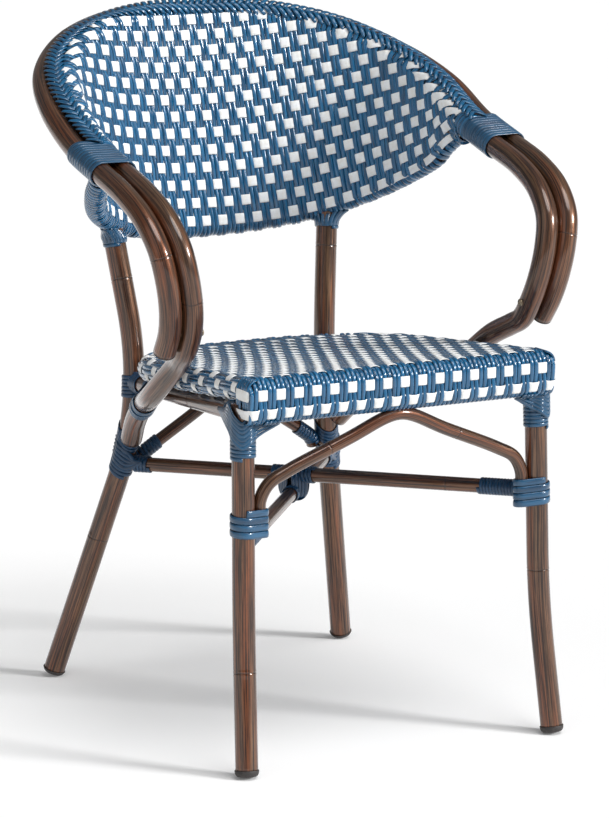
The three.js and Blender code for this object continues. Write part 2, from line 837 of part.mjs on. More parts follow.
// The sitter's side at a distance along the hoop, read between the rows of the table
function hoopTurnAt(distance) {
  const here = outerPath.getPointAt(distance / outerPath.getLength());
  for (let i = hoopStraightRows; i < outerHalf.length - 1; i++) {
    const run = outerHalf[i + 1].clone().sub(outerHalf[i]);
    const part = here.clone().sub(outerHalf[i]).dot(run) / run.lengthSq();
    if (part <= 1) {
      const turn = hoopShares[i][3] + (hoopShares[i + 1][3] - hoopShares[i][3]) * Math.max(part, 0);
      return turn * Math.PI / 2;
    }
  }
  return Math.PI / 2;
}

// Both hoops at a distance along the outer one from an arm's end
function armsAt(sign, distance) {
  const share = distance / outerPath.getLength();
  const middle = outerPath.getPointAt(sign > 0 ? share : 1 - share);
  const along = outerPath.getTangentAt(sign > 0 ? share : 1 - share).multiplyScalar(sign);
  const turnHere = hoopTurnAt(distance);
  const across = point(-sign * Math.cos(turnHere), -Math.sin(turnHere), 0);
  const b = middle.clone().addScaledVector(across, hoopPitch);
  return { a: middle, b, radiusA: mainTube / 2, radiusB: mainTube / 2, along };
}

// The arm lashing follows both hoops from its start
function armLashing(sign) {
  return winding({
    name: sign > 0 ? 'arm_lashing_right' : 'arm_lashing_left',
    turns: armLashTurns,
    pitch: armLashPitch,
    width: cordWidth,
    steps: cordSteps,
    at: (distance) => armsAt(sign, armLashStart + distance),
  });
}

function archLashing(sign) {
  const path = legPaths[sign > 0 ? 'front_leg_right' : 'front_leg_left'];
  return winding({
    name: sign > 0 ? 'arch_lashing_right' : 'arch_lashing_left',
    turns: archLashTurns,
    pitch: archLashPitch,
    width: archLashWidth,
    steps: cordSteps,
    at: (distance) => {
      const leg = pathAtHeight(path, archLashBottom + distance);
      const b = leg.clone().addScaledVector(point(-sign, 0, 0), legToArch);
      return { a: leg, b, radiusA: mainTube / 2, radiusB: archTube / 2, along: up };
    },
  });
}

// The room that an arch lashing takes up round its leg and arch
function archLashingRoom(sign) {
  const path = legPaths[sign > 0 ? 'front_leg_right' : 'front_leg_left'];
  const low = pathAtHeight(path, archLashBottom - touch);
  const high = pathAtHeight(path, archLashBottom + (archLashTurns + 1) * archLashPitch + touch);
  const around = 2 * (touch + cordLift) + cordDepth;
  const toArch = point(-sign * legToArch, 0, 0);
  const besideArch = straight(low.clone().add(toArch), high.clone().add(toArch), archTube + 2 * around);
  const besideLeg = straight(low, high, mainTube + 2 * around);
  return wasm.Manifold.hull([tubeSolid(besideLeg), tubeSolid(besideArch)]);
}

// Plain lashings: a sleeve round each tube at a joint, all in one piece

const frameTubes = [
  ...Object.values(legs), outerHoop, innerHoop, backRail, frontRail, rearRail, frontArch, rearArch,
  ...Object.values(sideRails), ...Object.values(stretchers),
];

function sleeve(from, to, width) {
  return tubeSolid(straight(from, to, width + 2 * (touch + cordDepth)));
}

// A stretch of a straight tube, from one end and away from it
function stretch({ path }, fromEnd, start, length) {
  const whole = path.getLength();
  const share = (distance) => fromEnd ? 1 - distance / whole : distance / whole;
  return [path.getPointAt(share(start)), path.getPointAt(share(start + length))];
}

function fitted(solids, extras = []) {
  const cut = cutBy(joined(solids), ...frameTubes);
  const rest = extras.reduce((left, other) => left.subtract(other), cut);
  const bodies = rest.decompose();
  bodies.sort((a, b) => b.volume() - a.volume());
  return bodies[0];
}

function legSleeve(name, low, high) {
  return sleeve(legAt(name, low), legAt(name, high), mainTube);
}

const sideOf = (sign) => (sign > 0 ? 'right' : 'left');
const legGrip = mainTube / 2;

function cornerLashing(sign, seat) {
  const name = `front_leg_${sideOf(sign)}`;
  const rail = sideRails[`side_rail_${sideOf(sign)}`];
  const top = apronBottom - touch;
  const [a, b] = stretch(rail, false, 0, legGrip + cornerLashReach);
  return fitted([legSleeve(name, top - cornerLashDrop, top), sleeve(a, b, sideRailTube)], [seat]);
}

function seatLashing(sign, seat) {
  const name = `rear_leg_${sideOf(sign)}`;
  const rail = sideRails[`side_rail_${sideOf(sign)}`];
  const [a, b] = stretch(rail, true, 0, legGrip + seatLashReach);
  const low = rearRailHeight - seatLashLength / 2;
  const high = rearRailHeight + seatLashLength / 2;
  return fitted([legSleeve(name, low, high), sleeve(a, b, sideRailTube)], [seat]);
}

function lowLashing(sign) {
  const name = `rear_leg_${sideOf(sign)}`;
  const upperHere = sign < 0;
  const stretcher = stretchers[upperHere ? 'stretcher_upper' : 'stretcher_lower'];
  const middle = upperHere ? stretcherHighRear : stretcherLowRear;
  const [a, b] = stretch(stretcher, false, 0, legGrip + sleeveReach);
  const archEnd = stretch(rearArch, sign < 0, 0, archTube);
  const archRise = stretch(rearArch, sign < 0, archTube, sleeveReach);
  return fitted([
    legSleeve(name, middle - lowLashBelow / 2, middle + lowLashAbove),
    sleeve(a, b, stretcherTube),
    sleeve(...archEnd, archTube),
    sleeve(...archRise, archTube),
  ]);
}

function frontSleeve(sign, others) {
  const upperHere = sign > 0;
  const stretcher = stretchers[upperHere ? 'stretcher_upper' : 'stretcher_lower'];
  const gap = mainTube / 2 + archTube + cordDepth + 2 * touch;
  const [a, b] = stretch(stretcher, true, gap, sleeveReach);
  return fitted([sleeve(a, b, stretcherTube)], others);
}

function postLashing(sign) {
  const name = `rear_leg_${sideOf(sign)}`;
  const top = backRailJoin.z - rearTopTuck - postLashDrop;
  const underWeave = tubeSolid(backRail, backRailRoll + touch + weaveLift);
  return fitted([legSleeve(name, top - postLashLength, top)], [underWeave]);
}

function armTie(sign, seat) {
  const rail = sideRails[`side_rail_${sideOf(sign)}`];
  const flip = (p) => (sign > 0 ? p : mirrored(p));
  const [, tailLow, from] = tailHalf;
  const way = tailLow.clone().sub(from).normalize();
  const to = from.clone().addScaledVector(way, armTieLength);
  const middle = flip(from.clone().lerp(to, 0.5));
  const share = (middle.y + frontLegSet) / (legBehindSeat.y + frontLegSet);
  const onRail = rail.path.getPointAt(share);
  const onRailNext = rail.path.getPointAt(share + armTieLink / rail.path.getLength());
  const link = tubeSolid(straight(middle, onRail, armTieLink));
  const solids = [sleeve(flip(from), flip(to), mainTube), link, sleeve(onRail, onRailNext, sideRailTube)];
  return fitted(solids, [seat]);
}

function crossLashing() {
  const crossing = stretchers.stretcher_upper.path;
  let best = 0;
  let least = Infinity;
  for (let i = 0; i <= 200; i++) {
    const x = Math.abs(crossing.getPointAt(i / 200).x);
    if (x < least) {
      least = x;
      best = i / 200;
    }
  }
  const parts = Object.values(stretchers).map(({ path }) => {
    const whole = path.getLength();
    const reach = crossLashLength / whole;
    return sleeve(path.getPointAt(best - reach / 2), path.getPointAt(best + reach / 2), stretcherTube);
  });
  return fitted(parts);
}

// The chair

const chair = new THREE.Group();

function addPiece(name, solid, look) {
  const mesh = new THREE.Mesh(geometryOf(solid), new THREE.MeshStandardMaterial(look));
  mesh.name = name;
  chair.add(mesh);
}

const seatWeave = cutBy(seatWeaveSolid(), ...Object.values(legs), innerHoop);
const seatClear = seatWeaveSolid().translate([0, 0, -touch]).add(seatWeaveSolid());
const seatFrame = seatFrameSolid();

for (const name of Object.keys(legs)) {
  const whole = legSolid(name);
  addPiece(name, name.startsWith('rear') ? cutBy(whole, backRail) : whole, cane);
  addPiece(`${name.replace('leg', 'glide')}`, glideSolid(name), grey);
}

const caps = { right: armCapParts(1), left: armCapParts(-1) };
const screws = { right: armScrew(1), left: armScrew(-1) };
const allScrews = Object.values(screws);
const outerBare = cutBy(tubeSolid(outerHoop), ...Object.values(caps).map((parts) => parts.hole));
addPiece('outer_hoop', cutBy(outerBare, ...allScrews.map(({ shank }) => shank)), cane);
const legTubes = Object.values(legs);
const innerBare = cutBy(tubeSolid(innerHoop), ...legTubes);
addPiece('inner_hoop', cutBy(innerBare, ...allScrews.flatMap(({ shank, head }) => [shank, head])), cane);
for (const [side, { cap, plug }] of Object.entries(caps)) {
  addPiece(`arm_cap_${side}`, cutBy(tubeSolid(cap).add(tubeSolid(plug)), innerHoop), grey);
}
for (const [side, { shank, head }] of Object.entries(screws)) {
  addPiece(`arm_screw_${side}`, tubeSolid(shank).add(tubeSolid(head)), steel);
}

addPiece('back_rail', cutBy(tubeSolid(backRail), innerHoop, outerHoop), cane);
const rearLegs = [legs.rear_leg_right, legs.rear_leg_left];
const backCut = cutBy(backWeaveSolid(), railTip(1), railTip(-1), ...rearLegs, innerHoop, outerHoop);
addPiece('back_weave', backCut, checked);
addPiece('back_braid', braidSolid(), blue);

addPiece('seat_frame', seatFrame, cane);
addPiece('seat_weave', seatWeave, checked);
for (const [name, rail] of Object.entries(sideRails)) {
  addPiece(name, cutBy(tubeSolid(rail), ...legTubes, innerHoop), cane);
}
addPiece('rear_rail', cutBy(tubeSolid(rearRail), ...legTubes, ...Object.values(sideRails)), cane);
addPiece('front_rail', cutBy(tubeSolid(frontRail), ...legTubes), cane);
addPiece('front_arch', cutBy(tubeSolid(frontArch), ...legTubes), cane);
addPiece('rear_arch', cutBy(tubeSolid(rearArch), ...legTubes, rearRail), cane);
for (const [name, one] of Object.entries(stretchers)) {
  const lashed = cutBy(tubeSolid(one), ...legTubes, frontArch, rearArch);
  addPiece(name, lashed.subtract(archLashingRoom(1)).subtract(archLashingRoom(-1)), cane);
}

addPiece('cross_lashing', crossLashing(), blue);
for (const sign of [1, -1]) {
  const side = sideOf(sign);
  const archCord = archLashing(sign);
  addPiece(`arm_lashing_${side}`, armLashing(sign), blue);
  addPiece(`arch_lashing_${side}`, archCord, blue);
  addPiece(`corner_lashing_${side}`, cornerLashing(sign, seatClear), blue);
  addPiece(`seat_lashing_${side}`, seatLashing(sign, seatClear), blue);
  addPiece(`low_lashing_${side}`, lowLashing(sign), blue);
  addPiece(`stretcher_sleeve_${side}`, frontSleeve(sign, [archCord]), blue);
  addPiece(`post_lashing_${side}`, postLashing(sign), blue);
  addPiece(`arm_tie_${side}`, armTie(sign, seatClear), blue);
}

// Stand the chair with its middle over the origin
const room = new THREE.Box3().setFromObject(chair);
chair.position.y = -room.getCenter(new THREE.Vector3()).y;

export default chair;
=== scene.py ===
"""The looks of a cafe armchair: cane-finished tube, and a seat and back woven from blue and white strands.

Lengths are in millimetres until a mesh is made. X is to the right as seen from the front, -Y is the front
and Z is up, as in the part's source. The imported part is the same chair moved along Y. What comes in pairs
is made on the +X side and mirrored.
"""

import math

import bpy
import numpy as np
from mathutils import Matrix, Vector


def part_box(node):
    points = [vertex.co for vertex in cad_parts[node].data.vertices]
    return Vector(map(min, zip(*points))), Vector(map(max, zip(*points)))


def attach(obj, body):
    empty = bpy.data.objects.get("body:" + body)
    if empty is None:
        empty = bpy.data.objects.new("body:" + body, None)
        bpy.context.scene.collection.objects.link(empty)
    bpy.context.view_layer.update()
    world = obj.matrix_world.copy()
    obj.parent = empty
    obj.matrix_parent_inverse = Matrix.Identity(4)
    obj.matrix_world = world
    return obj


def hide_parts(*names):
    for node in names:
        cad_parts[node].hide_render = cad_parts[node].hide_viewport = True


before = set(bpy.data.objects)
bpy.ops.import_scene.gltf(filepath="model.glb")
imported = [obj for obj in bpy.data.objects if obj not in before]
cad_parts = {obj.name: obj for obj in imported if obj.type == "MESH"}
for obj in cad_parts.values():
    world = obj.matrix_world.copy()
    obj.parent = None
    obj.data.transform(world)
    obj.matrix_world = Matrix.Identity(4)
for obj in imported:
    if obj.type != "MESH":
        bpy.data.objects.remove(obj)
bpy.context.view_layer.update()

# ---------------------------------------------------------------- the part's own sizes

TUBE = 26.0
SIDE_RAIL = 22.0
REAR_RAIL = 22.0
FRONT_RAIL = 20.0
SEAT_TUBE = 22.0
BACK_RAIL = 19.0
ARCH = 15.0
STRETCHER = 17.0
CLEAR = 0.3  # between pieces that rest on each other
ROLL_DEPTH = 14.8  # from the seat's edge to the middle of the frame tube in it
WEAVE_STAND = 2.6  # from a tube in the seat to the middle of the weave round it

SEAT_SPREAD = 200.0
SEAT_REAR_SPREAD = 186.0
SEAT_FRONT = 261.0
SEAT_BACK = 157.0
CORNER_RADIUS = 145.0
SEAT_TOP = 456.0
SEAT_FALL = 0.093
SEAT_SAG = 7.0
SEAT_STEP = 16.0
FRAME_FRONT = SEAT_FRONT - ROLL_DEPTH
FRAME_SIDE = SEAT_SPREAD - ROLL_DEPTH
FRAME_TOP = SEAT_TOP - ROLL_DEPTH

HOOP_GAP = 0.9
HOOP_PITCH = TUBE + HOOP_GAP
HOOP = (271.0, 313.0, 179.0, 802.0)  # spread, reach to the back, reach to the front, height
HOOP_ROWS = [
    (0.911, -0.832, 0.592, 0), (0.919, -0.927, 0.623, 0), (0.934, -0.983, 0.658, 0),
    (0.956, -1, 0.7, 0), (0.978, -0.961, 0.742, 0), (0.993, -0.81, 0.779, 0),
    (1, -0.564, 0.806, 0), (1, -0.235, 0.827, 0), (1, 0.105, 0.854, 0.06),
    (0.985, 0.339, 0.898, 0.2), (0.897, 0.562, 0.936, 0.38), (0.716, 0.751, 0.969, 0.56),
    (0.491, 0.888, 0.989, 0.72), (0.247, 0.971, 0.999, 0.87), (0, 1, 1, 1),
]
TAIL_ROWS = [
    (0.705, 1.006, 0.68), (0.75, 0.815, 0.739), (0.815, 0.497, 0.807),
    (0.995, -0.069, 0.873), (1.04, -0.402, 0.989), (1.08, -0.506, 1.02),
]
RAIL_ROWS = [
    (1.02, 0.175, 1), (0.985, 0.235, 0.774), (0.925, 0.405, 0.566), (0.79, 0.64, 0.323),
    (0.585, 0.82, 0.145), (0.308, 0.951, 0.034), (0, 1, 0),
]
RAIL = (231.0, 246.0, 545.0)
RAIL_END_SHARE = 0.2365
RAIL_END_BELOW = 16.5
JOIN_SHARE = 0.285  # of the back rail, to where a rear leg meets it
BACK_CENTRE = 18.0
LEG_TOP = (190.0, -229.0)  # of a front leg, where a side rail starts
ARCH_FOOT = 272.0
STRETCHER_REAR = {"right": 258, "left": 275}  # heights on the rear legs
STRETCHER_FRONT = {"right": 288, "left": 263}
SIDES = (("right", 1), ("left", -1))

shift_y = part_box("seat_weave")[0].y * 1000 + SEAT_FRONT
rng = np.random.default_rng(7)


# ---------------------------------------------------------------- paths

def vec(*xyz):
    return np.array(xyz, float)


def unit(v):
    return v / np.maximum(np.linalg.norm(v, axis=-1, keepdims=True), 1e-12)


def flip(p):
    return np.asarray(p, float) * [-1, 1, 1]


def on_side(p, sign):
    return flip(p) if sign < 0 else p


def level(angle):
    """The level way at an angle from +X."""
    return np.stack([np.cos(angle), np.sin(angle), 0 * angle], -1)


def lengths(points):
    """The distance along a line to each of its points."""
    return np.concatenate([[0], np.cumsum(np.linalg.norm(np.diff(points, axis=0), axis=1))])


def interpolated(at, places, values):
    return np.stack([np.interp(at, places, values[:, k]) for k in range(3)], -1)


def curve_through(points, per=40):
    """The centripetal Catmull-Rom curve through the points."""
    p = [np.array(q, float) for q in points]
    p = [2 * p[0] - p[1]] + p + [2 * p[-1] - p[-2]]
    share = np.linspace(0, 1, per, endpoint=False)[:, None]
    out = []
    for a, b, c, d in zip(p, p[1:], p[2:], p[3:]):
        ab, bc, cd = (max(np.linalg.norm(y - x) ** 0.5, 1e-4) for x, y in ((a, b), (b, c), (c, d)))
        m1 = ((b - a) / ab - (c - a) / (ab + bc) + (c - b) / bc) * bc
        m2 = ((c - b) / bc - (d - b) / (bc + cd) + (d - c) / cd) * bc
        k2 = -3 * b + 3 * c - 2 * m1 - m2
        k3 = 2 * b - 2 * c + m1 + m2
        out.append(b + m1 * share + k2 * share**2 + k3 * share**3)
    return np.vstack(out + [p[-2][None]])


class Path:
    """A polyline read by the distance along it."""

    def __init__(self, points):
        self.points = np.array(points, float)
        self.at_point = lengths(self.points)
        self.length = self.at_point[-1]

    def at(self, distance):
        return interpolated(np.asarray(distance, float), self.at_point, self.points)

    def way(self, distance, reach=1.5):
        distance = np.asarray(distance, float)
        low = np.clip(distance - reach, 0, self.length)
        high = np.clip(distance + reach, 0, self.length)
        return unit(self.at(high) - self.at(low))

    def mirrored(self):
        return Path(flip(self.points))

    def distance_at_height(self, height):
        return np.interp(height, self.points[:, 2], self.at_point)

    def at_height(self, height):
        return self.at(self.distance_at_height(height))


def both_halves(half):
    return Path(curve_through(half + [flip(p) for p in half[-2::-1]]))


def bent(corners, bend):
    """Straight runs with the middle corner rounded over the given length."""
    first, corner, last = (np.array(c, float) for c in corners)
    before = corner + (first - corner) * bend / np.linalg.norm(first - corner)
    after = corner + (last - corner) * bend / np.linalg.norm(last - corner)
    t = np.linspace(0, 1, 30)[:, None]
    arc = before * (1 - t) ** 2 + corner * 2 * t * (1 - t) + after * t**2
    return Path(np.vstack([first[None], arc, last[None]]))


def hoop_point(row):
    spread, back, front, height = HOOP
    return vec(row[0] * spread, row[1] * (front if row[1] < 0 else back), row[2] * height)


def sitter_side(turn):
    """The level way from the outer hoop to the inner one, after this share of a quarter turn."""
    angle = turn * math.pi / 2
    return vec(-math.cos(angle), -math.sin(angle), 0)


outer_half = [hoop_point(row) for row in HOOP_ROWS]
inner_half = [hoop_point(row) + sitter_side(row[3]) * HOOP_PITCH for row in HOOP_ROWS]
tail_half = [
    vec(x * SEAT_SPREAD, y * (SEAT_FRONT if y < 0 else SEAT_BACK), z * SEAT_TOP) for x, y, z in TAIL_ROWS
]
outer_hoop = both_halves(outer_half)
inner_hoop = both_halves(tail_half + inner_half)
inner_top = both_halves(inner_half)
rail_end = inner_top.at(RAIL_END_SHARE * inner_top.length)[2] - RAIL_END_BELOW
back_rail = both_halves([
    vec(x * RAIL[0], y * RAIL[1], RAIL[2] + (rail_end - RAIL[2]) * rise) for x, y, rise in RAIL_ROWS
])

rail_join = back_rail.at(JOIN_SHARE * back_rail.length)
front_leg = bent([(201, -258, 0), (193, -236, 160), (*LEG_TOP, 424)], 60)
rear_leg = bent([(202.5, 260, 0), (122, 161, 356), rail_join + vec(0, 1.5, -7)], 110)
legs = {
    "front_leg_right": front_leg, "front_leg_left": front_leg.mirrored(),
    "rear_leg_right": rear_leg, "rear_leg_left": rear_leg.mirrored(),
}


def seat_height(y):
    return FRAME_TOP - SEAT_FALL * (y + FRAME_FRONT)


def side_rail_height(y):
    return seat_height(y) - ROLL_DEPTH - 1 - SIDE_RAIL / 2


behind_seat = rear_leg.at_height(side_rail_height(161))
rear_rail_height = side_rail_height(behind_seat[1])
rails_meet = vec(*behind_seat[:2], rear_rail_height)
side_rail = Path([vec(*LEG_TOP, side_rail_height(LEG_TOP[1])), rails_meet])
side_rails = {"right": side_rail, "left": side_rail.mirrored()}
rear_rail = Path([flip(rails_meet), rails_meet])
front_rail_y = -(FRAME_FRONT + (SEAT_TUBE - FRONT_RAIL) / 2)
front_rail_z = FRAME_TOP - (SEAT_TUBE / 2 + CLEAR + FRONT_RAIL / 2)
front_rail = Path([vec(-180, front_rail_y, front_rail_z), vec(180, front_rail_y, front_rail_z)])
leg_to_arch = (TUBE + ARCH) / 2 + CLEAR
apron_bottom = front_rail_z - FRONT_RAIL / 2 - 3.8


def stretcher_between(rear, front):
    return Path([legs["rear_leg_" + rear].at_height(STRETCHER_REAR[rear]),
                 legs["front_leg_" + front].at_height(STRETCHER_FRONT[front])])


stretchers = {
    "stretcher_upper": stretcher_between("left", "right"),
    "stretcher_lower": stretcher_between("right", "left"),
}


def arch_path(rows, leg, top, reach):
    half = []
    for across, forward, high in rows:
        z = ARCH_FOOT + (top - ARCH_FOOT) * high
        on_leg = leg.at_height(z)
        half.append(vec((on_leg[0] - leg_to_arch) * across, on_leg[1] + reach(on_leg[1]) * forward, z))
    return both_halves(half)


front_arch = arch_path(
    [(1, 0, 0), (1, 0, 0.17), (1, 0, 0.31), (0.94, 0.1, 0.46), (0.8, 0.2, 0.565),
     (0.36, 0.65, 0.815), (0.1, 0.95, 0.975), (0, 1, 1)],
    front_leg, apron_bottom - CLEAR - ARCH / 2, lambda y: front_rail_y - y,
)
rear_arch = arch_path(
    [(1, 0, 0), (0.985, 0, 0.12), (0.88, 0, 0.25), (0.4, 0, 0.7), (0.1, 0, 0.97), (0, 0, 1)],
    rear_leg, rear_rail_height - REAR_RAIL / 2 - CLEAR - ARCH / 2, lambda y: 0,
)


# ---------------------------------------------------------------- meshes from swept sections

def transported(points):
    """A normal at each point that doesn't twist along the line."""
    ways = unit(np.gradient(points, axis=0))
    start = vec(0, 0, 1)
    if abs(start @ ways[0]) > 0.95:
        start = vec(1, 0, 0)
    normals = []
    for way in ways:
        start = unit(start - (start @ way) * way)
        normals.append(start)
    return np.array(normals)


def quads_between(rings, sides, closed=False):
    """Faces that join each ring of vertices to the next."""
    i = np.arange(rings if closed else rings - 1)[:, None]
    j = np.arange(sides)[None]
    k, up = (j + 1) % sides, (i + 1) % rings
    return np.stack([i * sides + j, up * sides + j, up * sides + k, i * sides + k], -1).reshape(-1, 4)


class Skin:
    """Gathers swept strands and tubes into one mesh, with a UV map of metres along and share round."""

    def __init__(self):
        self.points, self.quads, self.quad_uvs, self.tris, self.tri_uvs, self.rings = [], [], [], [], [], []
        self.count = 0
        self.strands = 0

    def sweep(self, line, normals, wide, deep, sides=8, power=1.0, slide=None, ring=None, closed=False):
        """Adds a section of half-sizes wide and deep along a line; normals point along deep."""
        line = np.asarray(line, float)
        n = len(line)
        if closed:
            ways = unit(np.roll(line, -1, 0) - np.roll(line, 1, 0))
        else:
            ways = unit(np.gradient(line, axis=0))
        across = unit(np.cross(ways, np.broadcast_to(normals, line.shape)))
        out = np.cross(across, ways)
        angle = np.arange(sides) / sides * 2 * math.pi
        c, s = (np.sign(v) * np.abs(v) ** power for v in (np.cos(angle), np.sin(angle)))
        wide, deep = (np.broadcast_to(v, n)[:, None, None] for v in (wide, deep))
        points = line[:, None] + across[:, None] * wide * c[None, :, None] + out[:, None] * deep * s[None, :, None]
        if slide is not None:
            points = points + ways[:, None] * slide[:, :, None]
        self.points.append(points.reshape(-1, 3))
        self.rings.append(np.repeat(np.zeros(n) if ring is None else ring, sides))
        base = self.count
        self.quads.append(quads_between(n, sides, closed) + base)
        self.count += n * sides

        # Each strand's map is shifted along, so that neighbours don't show the same grain
        along = lengths(line) / 1000 + (self.strands * 0.6180339) % 1 * 7
        self.strands += 1
        rows = n if closed else n - 1
        j = np.arange(sides)
        u0 = np.broadcast_to(along[:rows, None], (rows, sides))
        u1 = np.broadcast_to(np.append(along, along[-1] + 0.003)[1:rows + 1, None], (rows, sides))
        v0 = np.broadcast_to(j / sides, u0.shape)
        v1 = v0 + 1 / sides
        uvs = np.stack([np.stack(corner, -1) for corner in ((u0, v0), (u1, v0), (u1, v1), (u0, v1))], -2)
        self.quad_uvs.append(uvs.reshape(-1, 4, 2))
        if closed:
            return
        for row, order in ((0, 1), (n - 1, -1)):
            rim = [base + row * sides + j, base + row * sides + (j + 1) % sides][::order]
            self.tris.append(np.stack([np.full(sides, self.count), *rim], -1))
            self.tri_uvs.append(np.full((sides, 3, 2), (along[row], 0.25)))
            self.points.append(line[row][None])
            self.rings.append(np.zeros(1))
            self.count += 1

    def mirror(self):
        self.points = [flip(p) for p in self.points]
        for faces in (self.quads, self.quad_uvs, self.tris, self.tri_uvs):
            faces[:] = [f[:, ::-1] for f in faces]

    def piece(self, name, material, slot, nodes=()):
        """Makes the object, in place of the part's named nodes."""
        points = (np.vstack(self.points) + [0, shift_y, 0]) / 1000
        quads = np.vstack(self.quads)
        tris = np.vstack([np.zeros((0, 3), int), *self.tris])
        mesh = bpy.data.meshes.new(name)
        mesh.vertices.add(len(points))
        mesh.vertices.foreach_set("co", points.astype(np.float32).ravel())
        corners = np.concatenate([quads.ravel(), tris.ravel()])
        mesh.loops.add(len(corners))
        mesh.loops.foreach_set("vertex_index", corners.astype(np.int32))
        starts = np.concatenate([np.arange(len(quads)) * 4, len(quads) * 4 + np.arange(len(tris)) * 3])
        mesh.polygons.add(len(starts))
        mesh.polygons.foreach_set("loop_start", starts.astype(np.int32))
        mesh.polygons.foreach_set("use_smooth", np.full(len(starts), True))
        uvs = np.concatenate([faces.reshape(-1, 2) for faces in self.quad_uvs + self.tri_uvs])
        mesh.uv_layers.new(name="Run").data.foreach_set("uv", uvs.astype(np.float32).ravel())
        rings = np.concatenate(self.rings)
        if rings.any():
            attribute = mesh.attributes.new("Ring", "FLOAT", "POINT")
            attribute.data.foreach_set("value", rings.astype(np.float32))
        mesh.update(calc_edges=True)
        mesh.validate()
        mesh.materials.append(material)
        piece = bpy.data.objects.new(name, mesh)
        bpy.context.scene.collection.objects.link(piece)
        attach(piece, "root")
        if nodes:
            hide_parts(*nodes)


# ---------------------------------------------------------------- materials

def srgb(*rgb):
    def linear(c):
        c /= 255
        return c / 12.92 if c <= 0.04045 else ((c + 0.055) / 1.055) ** 2.4
    return tuple(linear(c) for c in rgb) + (1,)


class Nodes:
    """Short calls for a material's node tree."""

    def __init__(self, name):
        self.material = bpy.data.materials.new(name)
        self.material.use_nodes = True
        self.tree = self.material.node_tree
        self.tree.nodes.clear()
        self.shader = self.tree.nodes.new("ShaderNodeBsdfPrincipled")
        output = self.tree.nodes.new("ShaderNodeOutputMaterial")
        self.tree.links.new(self.shader.outputs[0], output.inputs[0])

    def node(self, kind, inputs=None, **settings):
        node = self.tree.nodes.new("ShaderNode" + kind)
        for key, value in settings.items():
            setattr(node, key, value)
        for key, value in (inputs or {}).items():
            self.feed(node.inputs[key], value)
        return node

    def feed(self, socket, value):
        if isinstance(value, bpy.types.NodeSocket):
            self.tree.links.new(value, socket)
        else:
            socket.default_value = value

    def math(self, operation, a, b=0.0):
        return self.node("Math", {0: a, 1: b}, operation=operation).outputs[0]

    def noise(self, vector, scale, detail=3.0, rough=0.55):
        inputs = {"Vector": vector, "Scale": scale, "Detail": detail, "Roughness": rough}
        return self.node("TexNoise", inputs).outputs["Fac"]

    def spread(self, value, low, high, to_low=0.0, to_high=1.0):
        inputs = {0: value, 1: low, 2: high, 3: to_low, 4: to_high}
        return self.node("MapRange", inputs, clamp=True).outputs[0]

    def mix(self, factor, a, b):
        return self.node("Mix", {0: factor, 6: a, 7: b}, data_type="RGBA").outputs[2]

    def place(self):
        return self.node("TexCoord").outputs["Object"]

    def run(self):
        uv = self.node("UVMap", uv_map="Run").outputs[0]
        parts = self.node("SeparateXYZ", {0: uv})
        return parts.outputs[0], parts.outputs[1]

    def round_vector(self, per_metre):
        """A place on a tube of radius one, with the length scaled."""
        along, share = self.run()
        angle = self.math("MULTIPLY", share, 2 * math.pi)
        return self.node("CombineXYZ", {
            0: self.math("COSINE", angle), 1: self.math("SINE", angle),
            2: self.math("MULTIPLY", along, per_metre),
        }).outputs[0]

    def ribs(self, count):
        """Ribs along a strand, this many round it."""
        return self.math("SINE", self.math("MULTIPLY", self.run()[1], 2 * math.pi * count))

    def bump(self, height, strength, distance):
        node = self.node("Bump", {"Height": height, "Strength": strength, "Distance": distance})
        self.feed(self.shader.inputs["Normal"], node.outputs[0])

    def set(self, **values):
        for key, value in values.items():
            self.feed(self.shader.inputs[key.replace("_", " ")], value)
        return self.material


def cane_material():
    n = Nodes("cane_finish")
    streaks = n.noise(n.round_vector(1.7), 7.5, 5, 0.62)
    broad = n.noise(n.round_vector(3.2), 1.3, 2, 0.5)
    fibres = n.noise(n.round_vector(4.0), 30, 2, 0.5)
    grey, red, dark = srgb(124, 92, 66), srgb(136, 76, 42), srgb(40, 20, 9)
    colour = n.mix(n.spread(broad, 0.38, 0.62), grey, red)
    colour = n.mix(n.spread(streaks, 0.4, 0.64), dark, colour)
    colour = n.mix(n.spread(fibres, 0.56, 0.72, 0, 0.55), colour, srgb(46, 30, 24))
    ring = n.node("Attribute", attribute_name="Ring", attribute_type="GEOMETRY").outputs["Fac"]
    colour = n.mix(n.math("MULTIPLY", ring, 0.85), colour, srgb(24, 15, 12))
    n.bump(n.math("ADD", streaks, n.math("MULTIPLY", fibres, 0.4)), 0.35, 0.0004)
    return n.set(Base_Color=colour, Roughness=n.spread(streaks, 0.3, 0.7, 0.46, 0.34), Metallic=0.55,
                 Coat_Weight=0.9, Coat_Roughness=0.12)


def strand_material(name, light, deep, rough, coat=0.7):
    n = Nodes(name)
    blotch = n.noise(n.round_vector(14), 1.6, 3)
    lines = n.noise(n.round_vector(6), 16, 2, 0.5)
    colour = n.mix(n.spread(blotch, 0.35, 0.65), deep, light)
    colour = n.mix(n.spread(lines, 0.5, 0.72, 0, 0.35), colour, deep)
    n.bump(n.math("ADD", n.math("MULTIPLY", n.ribs(14), 0.5), lines), 0.3, 0.00025)
    return n.set(Base_Color=colour, Roughness=n.spread(blotch, 0.3, 0.7, rough, rough + 0.1),
                 Coat_Weight=coat, Coat_Roughness=0.14)


